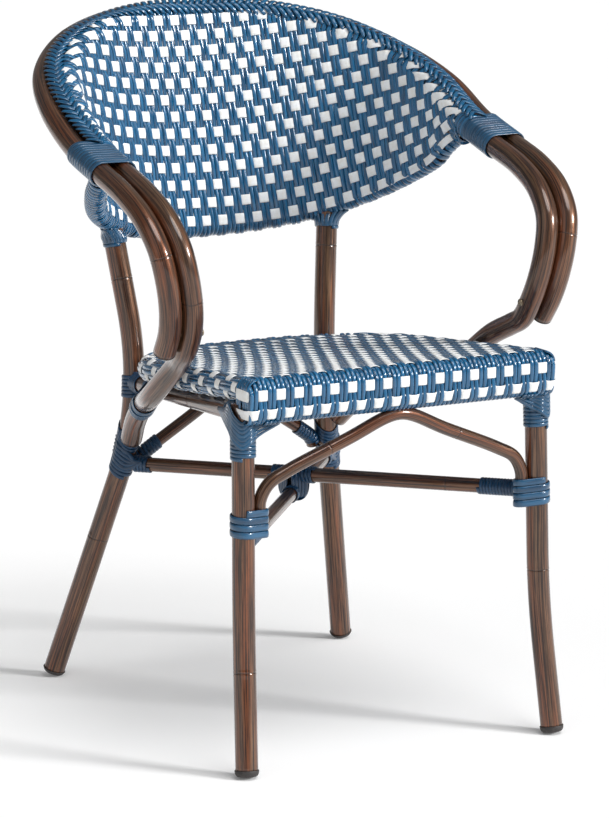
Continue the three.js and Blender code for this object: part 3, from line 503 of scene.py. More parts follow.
def white_material():
    n = Nodes("white_strand")
    place = n.place()
    cream = n.noise(place, 140, 3)
    specks = n.noise(place, 900, 2, 0.6)
    colour = n.mix(n.spread(cream, 0.4, 0.7), srgb(247, 249, 250), srgb(240, 238, 232))
    colour = n.mix(n.spread(specks, 0.58, 0.75, 0, 0.3), colour, srgb(206, 200, 190))
    n.bump(n.math("ADD", n.math("MULTIPLY", n.ribs(12), 0.5), specks), 0.25, 0.0002)
    return n.set(Base_Color=colour, Roughness=n.spread(cream, 0.3, 0.7, 0.42, 0.54))


def plastic_material():
    n = Nodes("dark_plastic")
    place = n.place()
    grain = n.noise(place, 1500, 2)
    scuff = n.noise(place, 90, 4, 0.65)
    colour = n.mix(n.spread(scuff, 0.5, 0.75, 0, 0.6), srgb(52, 48, 47), srgb(88, 82, 78))
    n.bump(grain, 0.3, 0.0002)
    return n.set(Base_Color=colour, Roughness=n.spread(scuff, 0.3, 0.7, 0.5, 0.68))


def screw_material():
    n = Nodes("screw_steel")
    brushed = n.noise(n.place(), 700, 3)
    colour = n.mix(n.spread(brushed, 0.4, 0.7), srgb(176, 160, 136), srgb(120, 104, 86))
    n.bump(brushed, 0.2, 0.0001)
    return n.set(Base_Color=colour, Roughness=n.spread(brushed, 0.3, 0.7, 0.3, 0.5), Metallic=0.85)


cane = cane_material()
blue = strand_material("blue_strand", srgb(4, 106, 154), srgb(0, 62, 97), 0.2, 1.0)
lashing_blue = strand_material("lashing_strand", srgb(24, 88, 126), srgb(8, 54, 84), 0.26)
# A darker copy of the lashing strand, with less coat, for the lashings low under the seat: painted shade, standing
# in for the seat's shadow on them
lashing_shaded = strand_material("shaded_lashing_strand", srgb(8, 68, 106), srgb(2, 42, 72), 0.3, 0.3)
braid_blue = strand_material("braid_strand", srgb(4, 98, 142), srgb(0, 58, 92), 0.22)
white = white_material()
plastic = plastic_material()
steel = screw_material()


# ---------------------------------------------------------------- cane tubes

TUBE_STEP = 4.0
RING_STEPS = (-4, -2.4, -1.2, -0.6, 0, 0.6, 1.2, 2.4, 4)
RING_ROOM = 5.5  # from a ring to the nearest even step
LEG_RINGS = {  # their heights
    "front_leg_right": (193,), "front_leg_left": (118,),
    "rear_leg_right": (235, 520), "rear_leg_left": (181, 500),
}
LEG_START = 8.5  # inside the rim of the glide


def cane_tube(node, path, width, rings=(), start=0.0, sides=32):
    """A smooth tube with the cane's dark rings, each a shallow groove that wanders round it."""
    name = node + "_cane"
    places = np.linspace(start, path.length, max(2, int((path.length - start) / TUBE_STEP) + 1))
    places = [p for p in places if all(abs(p - r) > RING_ROOM for r in rings)]
    places = np.array(sorted(places + [r + d for r in rings for d in RING_STEPS]))
    radius = np.full(len(places), width / 2)
    ring = np.zeros(len(places))
    slide = np.zeros((len(places), sides))
    angle = np.arange(sides) / sides * 2 * math.pi
    for r in rings:
        gap = np.abs(places - r)
        radius += np.where(gap < 0.1, -0.3, 0) + np.where((gap > 1) & (gap < 3), 0.12, 0)
        ring += np.where(gap < 0.1, 1, 0) + np.where((gap > 0.5) & (gap < 0.7), 0.25, 0)
        first, second = rng.uniform(0, 2 * math.pi, 2)
        wander = 1.1 * np.sin(angle + first) + 0.5 * np.sin(3 * angle + second)
        slide += np.clip(1.6 - gap / 3.5, 0, 1)[:, None] * wander[None]
    line = path.at(places)
    skin = Skin()
    skin.strands = sum(map(ord, name)) % 97
    skin.sweep(line, transported(line), radius, radius, sides, slide=slide, ring=ring)
    skin.piece(name, cane, "cane_finish", [node])


for name, path in legs.items():
    cane_tube(name, path, TUBE, [path.distance_at_height(h) for h in LEG_RINGS[name]], start=LEG_START)
cane_tube("outer_hoop", outer_hoop, TUBE, [108, 640, 1010, outer_hoop.length - 120])
cane_tube("inner_hoop", inner_hoop, TUBE, [inner_hoop.length - 430])
cane_tube("back_rail", back_rail, BACK_RAIL, sides=24)
for side, path in side_rails.items():
    cane_tube(f"side_rail_{side}", path, SIDE_RAIL, [170])
cane_tube("rear_rail", rear_rail, REAR_RAIL, [90])
cane_tube("front_rail", front_rail, FRONT_RAIL, sides=24)
cane_tube("front_arch", front_arch, ARCH, [150, 330], sides=24)
cane_tube("rear_arch", rear_arch, ARCH, [160], sides=24)
for name, path in stretchers.items():
    cane_tube(name, path, STRETCHER, [path.length * 0.3, path.length * 0.79], sides=24)
seat_frame_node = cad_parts["seat_frame"]
seat_frame_node.data.materials.clear()
seat_frame_node.data.materials.append(cane)


# ---------------------------------------------------------------- glides, caps and screws

ARM_SCREW = 26.0  # from the arm's end
CAP_PROFILE = [
    (-3.3, 4), (-3.2, 9), (-2.8, 11.4), (-1.8, 12.7), (-0.4, 13), (-0.3, 8.9), (15.5, 8.8), (16, 8),
]


def turned(name, foot, axis, profile, material, slot, nodes, sides=40):
    """A turned piece from (distance along the axis, radius) pairs."""
    skin = Skin()
    line = np.array([foot + axis * d for d, _ in profile])
    radius = np.array([r for _, r in profile], float)
    normal = transported(np.array([foot, foot + axis]))[0]
    across = unit(np.cross(axis, normal))
    angle = np.arange(sides)[:, None] / sides * 2 * math.pi
    rim = across * np.cos(angle) + normal * np.sin(angle)
    points = line[:, None] + radius[:, None, None] * rim
    n = len(line)
    first, last, top = n * sides, n * sides + 1, (n - 1) * sides
    j = np.arange(sides)
    k = (j + 1) % sides
    skin.points = [points.reshape(-1, 3), line[:1], line[-1:]]
    skin.quads = [quads_between(n, sides)]
    skin.quad_uvs = [np.zeros((len(skin.quads[0]), 4, 2))]
    skin.tris = [np.stack([np.full(sides, first), j, k], -1),
                 np.stack([np.full(sides, last), top + k, top + j], -1)]
    skin.tri_uvs = [np.zeros((2 * sides, 3, 2))]
    skin.rings = [np.zeros(n * sides + 2)]
    skin.piece(name, material, slot, nodes)


for name, path in legs.items():
    axis = path.way(0)
    lift = math.hypot(axis[0], axis[1]) / axis[2] * 12.2  # so that the leaning rim stays above the floor
    profile = [(lift + 0.1, 4), (lift + 0.1, 9.2), (lift + 0.7, 11.2), (lift + 2.0, 12.6),
               (lift + 4.0, 13.6), (9.0, 14), (9.6, 13.8), (9.8, 13.2), (9.8, 8.2), (32.5, 8), (33, 7.4)]
    glide = name.replace("leg", "glide")
    turned(glide + "_foot", path.at(0), axis, profile, plastic, "dark_plastic", [glide])

reach = HOOP_PITCH + TUBE / 2
SCREW_PROFILE = [
    (0, 2.9), (reach - 0.2, 3), (reach - 0.1, 4.5), (reach + 0.6, 4.5), (reach + 1.5, 4.1),
    (reach + 2.2, 3.1), (reach + 2.4, 1.8), (reach + 1.6, 1.5), (reach + 1.6, 0.3),
]
for side, sign in SIDES:
    turned(f"arm_cap_{side}_turned", on_side(outer_hoop.at(0), sign), on_side(outer_hoop.way(0), sign),
           CAP_PROFILE, plastic, "dark_plastic", [f"arm_cap_{side}"])
    turned(f"arm_screw_{side}_turned", on_side(outer_hoop.at(ARM_SCREW), sign), vec(-sign, 0, 0), SCREW_PROFILE,
           steel, "screw_steel", [f"arm_screw_{side}"], sides=24)


# ---------------------------------------------------------------- woven back

RAIL_ARC = 366.0  # from the back's middle to the rail's end, along the rail
HOOP_ARC = 402.0
WEAVE_END = 1.06  # the weave runs on past the rail's ends, and its windings to the arm lashings
WINDINGS_END = 1.105
WINDING_PITCH = 6.4
PAIRS = range(1, 64)  # of blue strands, from the sitter's right to the left
MIDDLE_PAIR = 29.5
PAIRS_A_SIDE = 30
FAN_FOOT = (-0.013, 0.941, 0.015, 0.103)
FAN_LEAN = (-0.073, 0.009, -0.225, 0.241)
FAN_EDGE = -0.48  # from here outwards the pairs are evenly spaced
FAN_EDGE_PITCH = 1.2
ROW_FOOT = (8.9, -7.118, -8.826, 8.122, -4.868)
ROW_PITCH = (22.4, 0.57, -2.824, 0.0, -2.492)
ROW_EASE = 0.157
ROWS = 14
BOW = 2.0  # of the panel towards the sitter, where a strand's run is as long as BOW_RUN
BOW_RUN = 240.0
PANEL_LIFT = 0.9
ROUND = 1.35  # half the thickness of a blue strand
FLAT = 0.6
BLUE_WAVE = 0.85
WHITE_WAVE = 1.15
WAVE_EDGE = 2.4  # how sharply a white strand turns between two passes
ROLL_STAND = 1.9  # from a tube to the middle of the strand wound round it
HOOP_ROLL = TUBE / 2 + ROLL_STAND
RAIL_ROLL = BACK_RAIL / 2 + ROLL_STAND
RAIL_RUN_ON = 26.0


def powers(row, value):
    value = np.asarray(value, float)
    return sum(factor * value**i for i, factor in enumerate(row))


def fan(pair, s):
    """A pair's place across the back, from -1 to 1, at a share of the way up from rail to hoop."""
    near = (np.asarray(pair, float) - MIDDLE_PAIR) / PAIRS_A_SIDE
    inner = np.maximum(near, FAN_EDGE)
    return powers(FAN_FOOT, inner) + s * powers(FAN_LEAN, inner) + (near - inner) * FAN_EDGE_PITCH


def run_on_half():
    places = list(np.arange(back_rail.length / 2, 15, -14.0))
    half = [back_rail.at(p) for p in places]
    hoop_place = RAIL_END_SHARE * inner_top.length
    for reach in (7, 16, RAIL_RUN_ON):
        half.append(inner_top.at(hoop_place - reach) - vec(0, 0, RAIL_END_BELOW - 0.5))
    return half[::-1]


long_rail = both_halves(run_on_half())


def on_rail(t):
    return long_rail.length / 2 - RAIL_ARC * np.asarray(t)


def on_hoop(t):
    return inner_top.length / 2 - HOOP_ARC * np.asarray(t)


def run_ends(t):
    """The middles of the rail and the inner hoop, at a place across the back."""
    return long_rail.at(on_rail(t)), inner_top.at(on_hoop(t))


def plan_inward(t):
    """The level way to the sitter."""
    low, high = run_ends(t)
    middle = (low + high) / 2
    return -unit(np.stack([middle[..., 0], middle[..., 1] - BACK_CENTRE, np.zeros(middle.shape[:-1])], -1))


def run_length(t):
    low, high = run_ends(t)
    return np.linalg.norm(high - low, axis=-1)


def panel_point(t, s):
    low, high = run_ends(t)
    stand = (RAIL_ROLL + PANEL_LIFT) * (1 - s) + (HOOP_ROLL + PANEL_LIFT) * s
    stand = stand + BOW * 4 * s * (1 - s) * np.minimum(run_length(t) / BOW_RUN, 1)
    return low + (high - low) * s[..., None] + plan_inward(t) * stand[..., None]


def roll_frame(path, place, inward):
    """The ways out of a tube, to the sitter and up."""
    way = path.way(place)
    front = unit(inward - np.sum(inward * way, -1, keepdims=True) * way)
    up = np.cross(way, front)
    return front, up * np.sign(up[..., 2:3])


def round_tube(ways, angle):
    """The way out of a tube at an angle up from the sitter's side."""
    front, up = ways
    return front * np.cos(angle) + up * np.sin(angle)


def round_hoop(t, angle):
    return round_tube(roll_frame(inner_top, on_hoop(t), plan_inward(t)), angle)


def round_rail(t, angle):
    return round_tube(roll_frame(long_rail, on_rail(t), plan_inward(t)), angle)


def back_place(t, rise):
    """The place and the way out, at a height above the rail that may run on round the hoop."""
    t, rise = np.broadcast_arrays(np.asarray(t, float), np.asarray(rise, float))
    length = run_length(t)
    s = np.clip(rise / length, 0, 1)
    point = panel_point(t, s)
    dt, ds = 0.004, 0.01
    across = panel_point(t + dt, s) - panel_point(t - dt, s)
    up_way = panel_point(t, np.minimum(s + ds, 1)) - panel_point(t, np.maximum(s - ds, 0))
    out = unit(np.cross(across, up_way))
    low, high = run_ends(t)
    radius = HOOP_ROLL + PANEL_LIFT
    angle = np.maximum(rise - length, 0)[..., None] / radius
    around = round_hoop(t, angle)
    on_roll = high + around * (radius - PANEL_LIFT * np.minimum(angle / 0.3, 1))
    over = (rise > length)[..., None]
    point, out = np.where(over, on_roll, point), np.where(over, around, out)
    radius = RAIL_ROLL + PANEL_LIFT
    around = round_rail(t, np.minimum(rise, 0)[..., None] / radius)
    under = (rise < 0)[..., None]
    return np.where(under, low + around * radius, point), np.where(under, around, out)


def row_rise(row, t):
    return powers(ROW_FOOT, t) + powers(ROW_PITCH, t) * row - ROW_EASE * row**2


def row_at(rise, t):
    foot, pitch = powers(ROW_FOOT, t), powers(ROW_PITCH, t)
    return (pitch - np.sqrt(np.maximum(pitch**2 - 4 * ROW_EASE * (rise - foot), 1))) / (2 * ROW_EASE)


# The braid's edges, as lengths round the hoop from the sitter's side: it leaves the front for the seam
# between the two hoops
BRAID_PLACES = (-1.06, -0.8, -0.6, -0.4, -0.2, 0.0, 0.2, 0.4, 0.6, 0.8, 1.06)
BRAID_NEAR = (19, 24, 28, 19, 5, 2, 2, 5, 9, 13, 16)
BRAID_FAR = (43, 47, 49, 45, 37, 27, 30, 33, 37, 40, 41)


def braid_edges(t):
    return np.interp(t, BRAID_PLACES, BRAID_NEAR), np.interp(t, BRAID_PLACES, BRAID_FAR)


def weave_reach(t):
    return braid_edges(t)[0] + 4


def blue_wave(rise, t, pair):
    return BLUE_WAVE * np.cos(math.pi * (row_at(rise, t) + pair))


def white_pass(phase):
    """How far a white strand stands out, with flat passes over and under."""
    return WHITE_WAVE * np.tanh(WAVE_EDGE * phase) / math.tanh(WAVE_EDGE)


def white_strand(skin, line, out, wide):
    skin.sweep(line, out, wide, FLAT, 10, power=0.72)


warp = Skin()
for pair in PAIRS:
    for half in (-0.25, 0.25):
        s = np.linspace(0, 1, 81)
        t = fan(pair + half, s)
        inside = np.abs(t) < WEAVE_END
        if inside.sum() < 12:
            continue
        s, t = s[inside], t[inside]
        length = run_length(t)
        count = max(5, int(np.ptp(s) * length.mean() / 3.2))
        fine = np.linspace(s[0], s[-1], count)
        t = np.interp(fine, s, t)
        rise = fine * run_length(t)
        if s[-1] > 0.999:
            beyond = np.linspace(2.5, 37, 13)
            rise = np.append(rise, rise[-1] + beyond)
            t = np.append(t, np.full(len(beyond), t[-1]))
        line, outs = back_place(t, rise)
        past = rise - run_length(t)
        fade = np.clip((weave_reach(t) - past) / 5, 0, 1)
        line = line - outs * (blue_wave(rise, t, pair) * fade)[:, None]
        pitch = (fan(pair + half + 0.5, np.clip(rise / run_length(t), 0, 1)) - t) * 2
        wide = np.abs(pitch) * (RAIL_ARC + HOOP_ARC) / 2 * 0.257  # half a strand's share of the pitch
        if s[0] < 0.001:
            turn = np.radians(np.linspace(-310, -14, 20))[:, None]
            around = round_rail(t[0], turn)
            dip = turn * RAIL_ROLL
            wave = blue_wave(dip, t[0], pair) * np.clip((dip + 20) / 6, 0, 1)
            line = np.vstack([run_ends(t[0])[0] + around * (RAIL_ROLL - wave), line])
            outs = np.vstack([around, outs])
            wide = np.concatenate([np.full(20, wide[0]), wide])
        warp.sweep(line, outs, np.clip(wide, 2.2, 4.3) * 0.9, ROUND)
warp.piece("back_blue_strands", blue, "woven_strand", ["back_weave"])

rolls = Skin()
for t in np.arange(-WINDINGS_END, WINDINGS_END, WINDING_PITCH / HOOP_ARC):
    turn = np.radians(np.linspace(-8, -150, 13) if abs(t) < WEAVE_END else np.linspace(150, -150, 25))[:, None]
    around = round_hoop(t, turn)
    rolls.sweep(run_ends(t)[1] + around * HOOP_ROLL, around, 3.25, ROUND)
rolls.piece("back_hoop_windings", blue, "woven_strand")

weft = Skin()
for row in range(ROWS):
    pair = np.arange(PAIRS[0], PAIRS[-1], 1 / 6)
    s = np.full(len(pair), 0.5)
    for _ in range(12):
        t = fan(pair, s)
        rise = row_rise(row, t)
        s = np.clip(rise / run_length(t), 0, 1)
    keep = (np.abs(t) < WEAVE_END) & (rise > -10) & (rise < run_length(t) + weave_reach(t))
    edges = np.flatnonzero(np.diff(np.concatenate([[0], keep.astype(int), [0]])))
    for first, last in zip(edges[::2], edges[1::2]):
        if last - first < 9:
            continue
        part = slice(first, last)
        phase = np.cos(math.pi * (pair[part] + row))
        line, outs = back_place(t[part], rise[part])
        line = line + outs * white_pass(phase + 0.22)[:, None]
        past = rise[part] - run_length(t[part])
        outside = np.clip(past / 10, 0, 1) + np.clip((4 - rise[part]) / 6, 0, 1)
        wide = 6.3 - 1.9 * np.minimum(outside, 1) * np.clip((np.abs(t[part]) - 0.45) / 0.3, 0, 1)
        white_strand(weft, line, outs, wide)
weft.piece("back_white_strands", white, "woven_strand")

BRAID_PITCH = 9.4
BRAID_TUCK = 0.16  # share of a strand's run that lies under its neighbours
braid = Skin()
braid_reach = WINDINGS_END * HOOP_ARC - 2
share = np.linspace(-BRAID_TUCK, 1, 13)
hump = np.sin(math.pi * np.clip((share + BRAID_TUCK) / (1 + BRAID_TUCK), 0, 1)) ** 0.7
thin = 0.55 + 0.45 * hump
for i in range(int(2 * braid_reach / BRAID_PITCH)):
    start = inner_top.length / 2 + braid_reach - BRAID_PITCH * i
    near, far = braid_edges((inner_top.length / 2 - start) / HOOP_ARC)
    spine = near + 0.42 * (far - near)
    for span, end, wide, lift in ((11.0, far, 3.3, 0.5), (14.5, near, 2.9, 0.0)):
        s = start - span * share
        round_by = spine + (end - spine) * share
        centre = inner_top.at(s)
        inward = -unit((centre - vec(0, BACK_CENTRE, 0)) * [1, 1, 0])
        front, up = roll_frame(inner_top, s, inward)
        out = round_tube((front, up), np.minimum(round_by / HOOP_ROLL, math.pi / 2)[:, None])
        beyond = np.maximum(round_by - HOOP_ROLL * math.pi / 2, 0)[:, None]
        radius = HOOP_ROLL + 1.5 + lift + 2.0 * hump
        line = centre + out * radius[:, None] - front * beyond - up * beyond * 0.1
        braid.sweep(line, out, wide * thin, 1.25 * thin)
braid.piece("back_braid_strands", braid_blue, "woven_strand", ["back_braid"])


# ---------------------------------------------------------------- woven seat

SEAT_PITCH = 11.3  # from one pair of blue strands to the next
SEAT_ROW = 22.6
SEAT_MID = SEAT_TUBE / 2 + WEAVE_STAND  # from the frame's middle to the middle of the weave
SEAT_PAIRS = 17  # on each side of the middle one
SEAT_STRAND_STEP = 3.6
WHITE_STEP = 1.9
APRON_ROW = 415.7
APRON_TOP_ROW = 437.0
APRON_SAG = 4.0  # the strands hang a little below the front rail
corner_x = SEAT_REAR_SPREAD - CORNER_RADIUS
corner_y = SEAT_BACK - CORNER_RADIUS
corner_arc = CORNER_RADIUS - ROLL_DEPTH
lean = math.atan2(SEAT_SPREAD - SEAT_REAR_SPREAD, corner_y + FRAME_FRONT)
tangent_x = corner_x + corner_arc * math.cos(lean)
tangent_y = corner_y + corner_arc * math.sin(lean)
MIX_ANGLE = math.pi / 4  # on the rear corners: blue wraps the roll behind it and white before it
middle_y = (SEAT_BACK - SEAT_FRONT) / 2
half_y = (SEAT_BACK + SEAT_FRONT) / 2 - ROLL_DEPTH


def frame_side_x(y):
    """Half the frame's width at a place from front to back."""
    y = np.asarray(y, float)
    straight = FRAME_SIDE + (tangent_x - FRAME_SIDE) * (y + FRAME_FRONT) / (tangent_y + FRAME_FRONT)
    reach = np.clip(corner_arc**2 - (y - corner_y) ** 2, 0, None)
    return np.where(y < tangent_y, straight, corner_x + np.sqrt(reach))


def frame_back_y(x):
    x = np.abs(np.asarray(x, float))
    over = np.clip(x - corner_x, 0, corner_arc)
    return corner_y + np.sqrt(corner_arc**2 - over**2)


def out_at_side(y):
    if y < tangent_y:
        return vec(math.cos(lean), math.sin(lean), 0)
    x = float(frame_side_x(y))
    return unit(vec(x - corner_x, y - corner_y, 0))


def taper(y):
    return np.minimum(frame_side_x(np.minimum(y, corner_y)), FRAME_SIDE) / FRAME_SIDE


def apron_radius(degrees):
    """How far the weave stands from the front rail, which it hangs below."""
    below = np.clip(np.sin(np.radians(-np.asarray(degrees, float) * 0.9)), 0, 1)
    return FRONT_RAIL / 2 + WEAVE_STAND + APRON_SAG * below ** 1.5


def seat_point(x, y):
    x, y = np.broadcast_arrays(np.asarray(x, float), np.asarray(y, float))
    half_x = FRAME_SIDE * taper(y)
    sag = np.clip(1 - (x / half_x) ** 2, 0, 1) * np.clip(1 - ((y - middle_y) / half_y) ** 2, 0, 1)
    z = seat_height(y) + SEAT_MID - SEAT_SAG * sag
    return np.stack([x, y, z], -1)


def up_from(out, angle):
    """The way out of a roll, at an angle up from the level one."""
    return out * math.cos(angle) + vec(0, 0, math.sin(angle))


def roll_points(centre, out, degrees, radius=SEAT_MID):
    """Round the seat's roll: ninety degrees is up and zero is out."""
    a = np.radians(degrees)[:, None]
    n = out * np.cos(a) + vec(0, 0, 1) * np.sin(a)
    return centre + n * radius, n


front_y = -FRAME_FRONT
rear_limit_x = corner_x + corner_arc * math.cos(MIX_ANGLE)
rear_limit_y = corner_y + corner_arc * math.sin(MIX_ANGLE)
TOP_ROW_Y = front_y + 1.3  # the first white row on the top
apron_face = front_rail_y - FRONT_RAIL / 2 - WEAVE_STAND


def row_of(y):
    return (np.asarray(y) - TOP_ROW_Y) / SEAT_ROW + 2


def run(line, out, rows, weaving=1.0):
    """Part of a strand: its places, the ways out, the rows passed and how fully it weaves there."""
    n = len(line)
    return line, np.broadcast_to(out, line.shape), np.broadcast_to(rows, n), np.broadcast_to(weaving, n)


def side_run(y, angle):
    """A strand along the side's roll and round the rear corner, at an angle up from level."""
    n = up_from(out_at_side(0), angle)
    side = np.stack([frame_side_x(y), y, seat_height(y)], -1)
    outward = level(np.linspace(lean, MIX_ANGLE, 14)[1:])
    corner = vec(corner_x, corner_y, 0) + corner_arc * outward
    corner[:, 2] = seat_height(corner[:, 1])
    out = np.vstack([np.broadcast_to(n, side.shape), up_from(outward, angle)])
    middle = np.vstack([side, corner])
    return middle + out * SEAT_MID, out, row_of(middle[:, 1])


def front_runs(x, drop):
    """A strand from under the front rail, up the apron and over the front of the seat."""
    out = vec(0, -1, 0)
    degrees = np.linspace(-235, -6, 22)
    line, outs = roll_points(vec(x, front_rail_y, front_rail_z), out, degrees, apron_radius(degrees)[:, None])
    under = run(line, outs, 0.0, np.clip((degrees + 60) / 30, 0, 1))
    z = np.linspace(front_rail_z + 1.5, APRON_TOP_ROW + 3, 9)
    rows = (z - APRON_ROW) / (APRON_TOP_ROW - APRON_ROW)
    face = run(np.stack([np.full(9, x), np.full(9, apron_face), z], -1), out, rows)
    degrees = np.linspace(8, 86, 8)
    line, outs = roll_points(vec(x, front_y, FRAME_TOP - drop), out, degrees)
    return [under, face, run(line, outs, 1.25 + 0.75 * degrees / 90)]


def top_runs(x_front):
    """A strand over the top, and round the rear roll where blue is wound there."""
    x_rear = x_front * float(taper(corner_y))
    y_end = float(frame_back_y(x_rear))
    y = np.arange(front_y + 3, y_end, SEAT_STRAND_STEP)
    top = run(seat_point(x_front * taper(y), y), vec(0, SEAT_FALL, 1), row_of(y), np.clip((y_end - y) / 6, 0, 1))
    if abs(x_rear) >= rear_limit_x:
        return [top]
    outward = unit(vec(math.copysign(max(abs(x_rear) - corner_x, 0), x_rear), y_end - corner_y, 0))
    degrees = np.linspace(88, -215, 22)
    rows = (90 - degrees) / 90
    line, outs = roll_points(vec(x_rear, y_end, seat_height(y_end)), outward, degrees)
    return [top, run(line, outs, rows, np.clip(1.6 - np.abs(rows - 1), 0, 1))]


seat_warp = Skin()
for pair in range(-SEAT_PAIRS, SEAT_PAIRS + 1):
    for half in (-0.25, 0.25):
        x_front = (pair + half) * SEAT_PITCH
        past_side = abs(x_front) - FRAME_SIDE
        if past_side > 0:
            sign = math.copysign(1, x_front)
            runs = front_runs(x_front, SEAT_MID - math.sqrt(max(SEAT_MID**2 - past_side**2, 0)))
            line, outs, rows = side_run(
                np.arange(front_y + 3, tangent_y, SEAT_STRAND_STEP), math.acos(min(past_side / SEAT_MID, 1)))
            runs.append(run(on_side(line, sign), on_side(outs, sign), rows))
        else:
            runs = front_runs(x_front, 0.0) + top_runs(x_front)
        line, out, rows, weaving = (np.concatenate(part) for part in zip(*runs))
        wave = np.cos(math.pi * (rows + pair + 1)) * weaving
        line = line - unit(out) * (BLUE_WAVE * wave)[:, None]
        seat_warp.sweep(line, out, SEAT_PITCH / 4 * 0.98, ROUND)
for sign in (1, -1):
    for pair in range(SEAT_PAIRS + 1, SEAT_PAIRS + 4):
        for half in (-0.25, 0.25):
            angle = math.pi / 2 - ((pair + half) * SEAT_PITCH - FRAME_SIDE) / SEAT_MID
            line, out, _ = side_run(np.arange(front_y + SEAT_STEP - 6, tangent_y, SEAT_STRAND_STEP), angle)
            wave = np.cos(math.pi * (row_of(line[:, 1]) + pair + 1))
            line = line - out * (BLUE_WAVE * wave)[:, None]
            seat_warp.sweep(on_side(line, sign), on_side(out, sign), SEAT_PITCH / 4 * 1.02, ROUND)
    # Upright strands on the sides of the deep front edge
    for y in (front_y - 9.5, front_y - 3.9, front_y + 1.8, front_y + 7.4, front_y + 13.0):
        side_x = FRAME_SIDE + SEAT_MID - (1.9 if y < front_y + 3 else 0)
        low = [vec(side_x - 12, y, front_rail_z - 12.5), vec(side_x - 5, y, front_rail_z - 11.5),
               vec(side_x - 1, y, front_rail_z - 9)]
        upright = [vec(side_x, y, z) for z in np.linspace(front_rail_z - 6, FRAME_TOP, 12)]
        a, b = roll_points(vec(FRAME_SIDE, y, FRAME_TOP), vec(1, 0, 0), np.linspace(10, 80, 6))
        line = np.vstack([low, upright, a])
        out = np.vstack([[unit(vec(0.3, 0, -1))] * len(low), [vec(1, 0, 0)] * len(upright), b])
        seat_warp.sweep(on_side(line, sign), on_side(out, sign), 2.85, ROUND)
seat_warp.piece("seat_blue_strands", blue, "woven_strand", ["seat_weave"])

seat_weft = Skin()


def white_wave(pair, row):
    return white_pass(np.cos(math.pi * (pair + row + 1)))


def both_sides(line):
    """A line from the middle to one side, run on to the other."""
    return np.vstack([flip(line[:0:-1]), line])


def signed(along):
    return np.concatenate([-along[:0:-1], along])


for row, z in ((0, APRON_ROW), (1, APRON_TOP_ROW)):
    x = np.arange(0, FRAME_SIDE + 6, WHITE_STEP)
    flat = np.stack([x, np.full(len(x), apron_face), np.full(len(x), z)], -1)
    bend = 6.5
    round_corner = level(np.radians(np.linspace(-80, -10, 7)))
    arc = vec(FRAME_SIDE + SEAT_MID - bend, apron_face + bend, z) + bend * round_corner
    y = np.arange(apron_face + bend, front_y + SEAT_STEP - 2, WHITE_STEP)
    side = np.stack([np.full(len(y), FRAME_SIDE + SEAT_MID), y, np.full(len(y), z)], -1)
    line = np.vstack([flat, arc, side])
    out = np.vstack([[vec(0, -1, 0)] * len(x), round_corner, [vec(1, 0, 0)] * len(y)])
    along = signed(lengths(line))
    line, out = both_sides(line), both_sides(out)
    roll = FRONT_RAIL / 2 + WEAVE_STAND
    dip = math.asin(max(front_rail_z - z, 0) / roll)
    line = line - out * (roll - float(apron_radius(-math.degrees(dip))) * math.cos(dip))
    out = up_from(out, -dip)
    past_corner = np.abs(along) - (SEAT_PAIRS + 0.5) * SEAT_PITCH
    on_corner = (past_corner > 0) & (past_corner < 2 * SEAT_PITCH)
    wave = np.where(on_corner, WHITE_WAVE, white_wave(along / SEAT_PITCH, row))
    white_strand(seat_weft, line + out * wave[:, None], out, 6.3)

for row in range(2, 20):
    y = TOP_ROW_Y + SEAT_ROW * (row - 2)
    if y > corner_y + corner_arc - 4:
        break
    edge = float(frame_side_x(y))
    x = np.linspace(0, edge, max(4, int(edge / WHITE_STEP)))
    pair = x / (SEAT_PITCH * float(taper(y)))
    line = seat_point(x, y)
    out = np.broadcast_to(vec(0, SEAT_FALL, 1), line.shape)
    if y < rear_limit_y and row > 2:
        degrees = np.linspace(86, -150, 36)
        a, b = roll_points(vec(edge, y, seat_height(y)), out_at_side(y), degrees)
        line, out = np.vstack([line, a]), np.vstack([out, b])
        pair = np.concatenate([pair, FRAME_SIDE / SEAT_PITCH + np.radians(90 - degrees) * SEAT_MID / SEAT_PITCH])
    line, out = both_sides(line), both_sides(out)
    white_strand(seat_weft, line + unit(out) * white_wave(signed(pair), row)[:, None], out, 6.2)

for row, degrees in ((1, 0.0), (2, -88.0)):
    x = np.arange(-rear_limit_x + 1, rear_limit_x, WHITE_STEP)
    y = frame_back_y(x)
    over = np.clip(np.abs(x) - corner_x, 0, None) * np.sign(x)
    outward = unit(np.stack([over, y - corner_y, 0 * x], -1))
    n = up_from(outward, math.radians(degrees))
    line = np.stack([x, y, seat_height(y)], -1) + n * SEAT_MID
    pair = x / (SEAT_PITCH * float(taper(corner_y)))
    white_strand(seat_weft, line + n * white_wave(pair, row)[:, None], n, 5.4)
seat_weft.piece("seat_white_strands", white, "woven_strand")


# ---------------------------------------------------------------- lashings

def loop_point(turn, a, b, radius_a, radius_b, normal):
    """The place after a number of turns round two circles side by side, with the way out there."""
    line = unit(b - a)
    side = unit(np.cross(normal, line))
    span = np.linalg.norm(b - a)
    spread = math.acos((radius_a - radius_b) / span)
    arc_b, arc_a = 2 * spread * radius_b, (2 * math.pi - 2 * spread) * radius_a
    run = math.sqrt(span**2 - (radius_a - radius_b) ** 2)
    left = (turn % 1) * (arc_a + arc_b + 2 * run)

    def out(at):
        return line * math.cos(at) + side * math.sin(at)

    if left < arc_b:
        at = -spread + left / radius_b
        return b + out(at) * radius_b, out(at)
    left -= arc_b
    if left < run:
        first, last = b + out(spread) * radius_b, a + out(spread) * radius_a
        return first + (last - first) * left / run, out(spread)
    left -= run
    if left < arc_a:
        at = spread + left / radius_a
        return a + out(at) * radius_a, out(at)
    left -= arc_a
    first, last = a + out(-spread) * radius_a, b + out(-spread) * radius_b
    return first + (last - first) * left / run, out(-spread)


